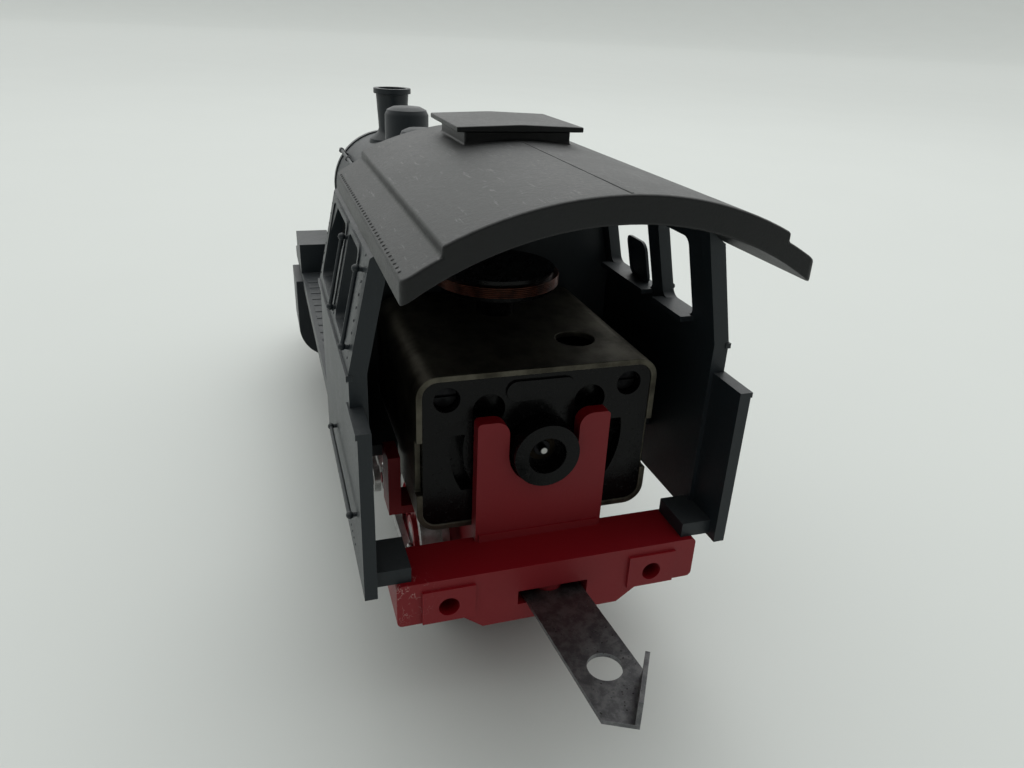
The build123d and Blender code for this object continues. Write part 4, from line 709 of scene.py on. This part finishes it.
class LOCO_OT_cab_detail(bpy.types.Operator):
    """Add window frames, half-height panes and rivet rows to the cab"""

    bl_idname = "loco.cab_detail"
    bl_label = "Cab detail"

    def execute(self, context):
        for name, side in SIDES:
            place = on_side(side)
            self.window_frames(name, place)
            self.rivets(name, side, place)
            self.half_pane(name, place)
        return {"FINISHED"}

    def window_frames(self, name, place):
        bm = bmesh.new()
        low, high = WINDOW_Z
        for x0, x1 in WINDOWS:
            inner = round_rect(x0, x1, low, high, WINDOW_R)
            outer = round_rect(x0 - FRAME_WIDTH, x1 + FRAME_WIDTH, low - FRAME_WIDTH, high + FRAME_WIDTH, 1.1)
            sheet_ring(bm, outer, inner, place, FRAME_STANDS)
        publish(f"window_frames_{name}", bm, "body_black")

    def rivets(self, name, side, place):
        """Upright rows beside the pillars, and two rows along the cab's side."""
        spots = [(x + 0.75, 34.0 + i * PILLAR_PITCH) for x in PILLARS for i in range(PILLAR_RIVETS)]
        spots += [(13.0 + i * BELT_PITCH, z) for i in range(BELT_RIVETS) for z in (16.2, 32.2)]
        bm = bmesh.new()
        for x, z in spots:
            rivet(bm, place(x, z, -0.01), side_normal(z, side), 0.13)
        publish(f"cab_rivets_{name}", bm, "body_black")

    def half_pane(self, name, place):
        """Pane in a frame across the lower part of the front window, inside the wall."""
        x0, x1, z0, z1 = *PANE, *PANE_Z
        rim = round_rect(x0, x1, z0, z1, PANE_R)
        hole = round_rect(x0 + PANE_RIM, x1 - PANE_RIM, z0 + PANE_RIM, z1 - PANE_RIM, 0.65)

        def inset(x, z, off):
            return place(x, z, off - PANE_DEPTH)
        bm = bmesh.new()
        sheet_ring(bm, rim, hole, inset, 0.3)
        publish(f"half_pane_frame_{name}", bm, "body_black")
        bm = bmesh.new()
        back, front = ([bm.verts.new(inset(*p, off)) for p in hole] for off in (0.1, 0.2))
        bm.faces.new(back)
        bm.faces.new(front)
        for i in range(len(hole)):
            j = (i + 1) % len(hole)
            bm.faces.new((back[i], back[j], front[j], front[i]))
        publish(f"half_pane_{name}", bm, "body_black")


class LOCO_OT_choke_wire(bpy.types.Operator):
    """Wind the choke's copper wire in place of the plain ring"""

    bl_idname = "loco.choke_wire"
    bl_label = "Choke wire"

    def execute(self, context):
        turns = context.scene.loco_detail.wire_turns
        low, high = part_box("choke_winding")
        centre = (low + high) / 2
        r = (high.y - low.y) / 2 / MM
        half = (high.z - low.z) / 2 / MM
        wire = half / turns
        outline = [(-half, CHOKE_INNER_R), (-half, r - wire)]
        for i in range(turns):
            mid = -half + (2 * i + 1) * wire
            for a in range(-80, 81, 20):
                t = math.radians(a)
                outline.append((mid + wire * math.sin(t), r - wire + wire * math.cos(t)))
        outline += [(half, r - wire), (half, CHOKE_INNER_R), (-half, CHOKE_INNER_R)]
        bm = bmesh.new()
        lathe(bm, outline, centre, (0, 0, 1), 96)
        bmesh.ops.remove_doubles(bm, verts=bm.verts, dist=1e-7)
        publish("choke_wire", bm, "copper", replaces=("choke_winding",), angle=50)
        return {"FINISHED"}


class LOCO_OT_boiler_detail(bpy.types.Operator):
    """Add handrails, pipes, rivet rows and washout plugs to the boiler"""

    bl_idname = "loco.boiler_detail"
    bl_label = "Boiler detail"

    def execute(self, context):
        radius = context.scene.loco_detail.rail_radius / MM
        knobs = bmesh.new()
        rivets = bmesh.new()
        for name, side in SIDES:
            out = Vector((0, side * math.cos(RAIL_AT), math.sin(RAIL_AT)))
            rail_y, rail_z = out.y * RAIL_STANDS, BOILER_Z + out.z * RAIL_STANDS
            rail = [(x, rail_y, rail_z) for x in (39.5, 55, 70, 84, 98.5)]
            pipe(f"boiler_handrail_{name}", rail, radius, "body_black")
            for x in RAIL_KNOBS:
                knob = [(-2.2, 0.24), (-0.3, 0.24), (-0.3, 0.4), (0, 0.48), (0.3, 0.4), (0.46, 0)]
                lathe(knobs, knob, at(x, rail_y, rail_z), out, 16)
            drop = [(79.6, side * 3.0, BOILER_Z + 8.8), (80.2, side * 6.8, BOILER_Z + 6.6),
                    (80.4, side * 9.35, BOILER_Z), (80.4, side * 8.2, BOILER_Z - 5),
                    (80.4, side * 9.6, BOARD_TOP + 0.1)]
            pipe(f"steam_pipe_{name}", drop, STEAM_PIPE_R, "body_black")
            feed = [(40.0, side * 9.3, BOILER_Z - 2.0), (56, side * 9.35, BOILER_Z - 2.0),
                    (68, side * 9.4, BOILER_Z - 1.2), (72, side * 8.2, BOILER_Z + 4.2)]
            pipe(f"feed_pipe_{name}", feed, FEED_PIPE_R, "body_black")
            level, up = math.cos(PLUG_AT), math.sin(PLUG_AT)
            for x in PLUGS:
                plug = [(-0.2, 0.6), (0.2, 0.6), (0.3, 0.45), (0.3, 0.28), (0.55, 0.28), (0.55, 0)]
                spot = at(x, side * BOILER_R * level, BOILER_Z + BOILER_R * up)
                lathe(rivets, plug, spot, (0, side * level, up), 6)
        for x in SMOKEBOX_RIVET_ROWS:
            for i in range(SMOKEBOX_RIVETS):
                a = 2 * math.pi * i / SMOKEBOX_RIVETS
                normal = Vector((0, math.cos(a), math.sin(a)))
                spot = at(x, SMOKEBOX_R * normal.y, BOILER_Z + SMOKEBOX_R * normal.z)
                rivet(rivets, spot, normal, 0.17)
        publish("rail_knobs", knobs, "body_black")
        publish("boiler_rivets", rivets, "body_black")
        return {"FINISHED"}


class LOCO_OT_front_detail(bpy.types.Operator):
    """Add brake hoses, steps and rivets to the front beam"""

    bl_idname = "loco.front_detail"
    bl_label = "Front detail"

    def execute(self, context):
        rivets = bmesh.new()
        for name, side in SIDES:
            hose = [(109.9, side * 4.6, 12.6), (111.2, side * 4.6, 12.8), (112.3, side * 4.7, 11.4),
                    (112.2, side * 4.8, 9.2), (111.6, side * 4.9, 8.2)]
            pipe(f"brake_hose_{name}", hose, HOSE_R, "body_black")
            for dy in (-2.6, 2.6):
                for z in (9.6, 14.6):
                    rivet(rivets, at(FRONT_BEAM_FACE, side * BUFFER_Y + dy, z), (1, 0, 0), 0.22)
        publish("front_beam_rivets", rivets, "frame_red")
        treads = bmesh.new()
        for _, side in SIDES:
            for i in range(TREADS):
                x = TREAD_X + i * TREAD_PITCH
                low = (x, side * TREAD_Y[0], BOARD_TOP - 0.05)
                high = (x + TREAD_L, side * TREAD_Y[1], BOARD_TOP + 0.08)
                bar(treads, low, high, 0.04)
        publish("footplate_treads", treads, "body_black")
        return {"FINISHED"}


class LOCO_OT_rod_detail(bpy.types.Operator):
    """Add oil cups and nuts to the coupling rods"""

    bl_idname = "loco.rod_detail"
    bl_label = "Rod detail"

    def execute(self, context):
        for name, side in SIDES:
            low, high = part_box(f"coupling_rod_{name}")
            centre = (low + high) / 2
            outer = high.y if side > 0 else low.y
            rear, front = low.x + ROD_BOSS_R * MM, high.x - ROD_BOSS_R * MM
            bm = bmesh.new()
            for x in (rear, centre.x, front):
                cup = [(-0.2, 0.34), (0.55, 0.34), (0.7, 0.22), (0.75, 0)]
                lathe(bm, cup, Vector((x, centre.y, centre.z + ROD_BOSS_R * MM)), (0, 0, 1), 14)
                if x != centre.x:
                    nut = [(-0.02, 0.95), (0.2, 0.95), (0.26, 0.85), (0.26, 0.0)]
                    lathe(bm, nut, Vector((x, outer, centre.z)), (0, side, 0), 6)
            publish(f"rod_fittings_{name}", bm, "bright_steel", body=f"{name}_coupling_rod")
        return {"FINISHED"}


class LOCO_OT_stage(bpy.types.Operator):
    """Make the seamless floor, the soft light and the camera"""

    bl_idname = "loco.stage"
    bl_label = "Stage"

    def execute(self, context):
        settings = context.scene.loco_stage
        self.camera(settings)
        self.floor(settings)
        self.lights(settings)
        return {"FINISHED"}

    def camera(self, settings):
        yaw, pitch, roll = (math.radians(a) for a in CAMERA_TURN)
        ahead = Vector((math.cos(pitch) * math.cos(yaw), -math.cos(pitch) * math.sin(yaw), -math.sin(pitch)))
        right = Vector((-math.sin(yaw), -math.cos(yaw), 0))
        down = ahead.cross(right)
        turned = math.cos(roll) * right + math.sin(roll) * down
        sunk = -math.sin(roll) * right + math.cos(roll) * down
        data = bpy.data.cameras.new("camera")
        data.sensor_width, data.lens = 36.0, settings.lens
        data.clip_start, data.clip_end = 0.005, 20.0
        obj = link_object("camera", data)
        turn = Matrix((turned, -sunk, -ahead)).transposed().to_4x4()
        obj.matrix_world = Matrix.Translation(at(*CAMERA_AT)) @ turn
        bpy.context.scene.camera = obj

    def floor(self, settings):
        colour = tuple(settings.floor_colour)
        f = Finish("floor", colour, 0.62)
        f.put("Base Color", f.blend(f.noise(0.012, 3.0), colour, tuple(c * 0.96 for c in colour)))
        f.put("Specular IOR Level", 0.3)
        bm = bmesh.new()
        outline = [(0.0, 0.0), (0.0, FLOOR_FLAT)]
        for i in range(1, 13):
            a = math.radians(FLOOR_RISE * i / 12)
            outline.append((FLOOR_BEND * (1 - math.cos(a)), FLOOR_FLAT + FLOOR_BEND * math.sin(a)))
        lathe(bm, outline, Vector((0, 0, 0)), (0, 0, 1), 96)
        mesh_object("floor", bm, f.material, 60)

    def lights(self, settings):
        """A room that is bright ahead and above and dim behind, and one large soft light."""
        world = bpy.data.worlds.new("room")
        bpy.context.scene.world = world
        world.use_nodes = True
        room = Shading(world.node_tree)
        back = room.tree.nodes["Background"]
        back.inputs["Color"].default_value = (0.985, 1.0, 0.985, 1.0)
        toward = room.add("ShaderNodeTexCoord")["Generated"]
        sockets = {0: toward, 1: BRIGHT_SIDE}
        ahead = room.add("ShaderNodeVectorMath", {"operation": "DOT_PRODUCT"}, sockets)["Value"]
        room.feed(back.inputs["Strength"], ahead.step(-0.35, 1.0) * settings.sky + settings.sky * 0.08)
        data = bpy.data.lights.new("softbox", "AREA")
        data.shape, data.size, data.energy = "DISK", SOFTBOX_SIZE, settings.softbox
        obj = link_object("softbox", data)
        obj.location = at(*SOFTBOX_AT)
        obj.rotation_euler = (at(*SOFTBOX_AIM) - obj.location).to_track_quat("-Z", "Y").to_euler()
        bpy.context.scene.view_settings.view_transform = "Standard"


OPERATORS = (LOCO_OT_finishes, LOCO_OT_roof_detail, LOCO_OT_cab_detail, LOCO_OT_choke_wire, LOCO_OT_boiler_detail,
             LOCO_OT_front_detail, LOCO_OT_rod_detail, LOCO_OT_stage)


class LOCO_PT_panel(bpy.types.Panel):
    """Steps that finish the locomotive, in order"""

    bl_idname = "LOCO_PT_panel"
    bl_label = "Model Steam Locomotive"
    bl_space_type = "VIEW_3D"
    bl_region_type = "UI"
    bl_category = "Locomotive"

    def draw(self, context):
        for group in (context.scene.loco_stage, context.scene.loco_detail):
            for name in group.bl_rna.properties.keys():
                if name not in ("name", "rna_type"):
                    self.layout.prop(group, name)
        for step in OPERATORS:
            self.layout.operator(step.bl_idname)


CLASSES = (LocoStageSettings, LocoDetailSettings, *OPERATORS, LOCO_PT_panel)


def register():
    for item in CLASSES:
        bpy.utils.register_class(item)
    bpy.types.Scene.loco_stage = bpy.props.PointerProperty(type=LocoStageSettings)
    bpy.types.Scene.loco_detail = bpy.props.PointerProperty(type=LocoDetailSettings)


def unregister():
    del bpy.types.Scene.loco_detail
    del bpy.types.Scene.loco_stage
    for item in reversed(CLASSES):
        bpy.utils.unregister_class(item)


def main():
    register()
    for step in OPERATORS:
        group, name = step.bl_idname.split(".")
        getattr(getattr(bpy.ops, group), name)()


if __name__ == "__main__":
    main()
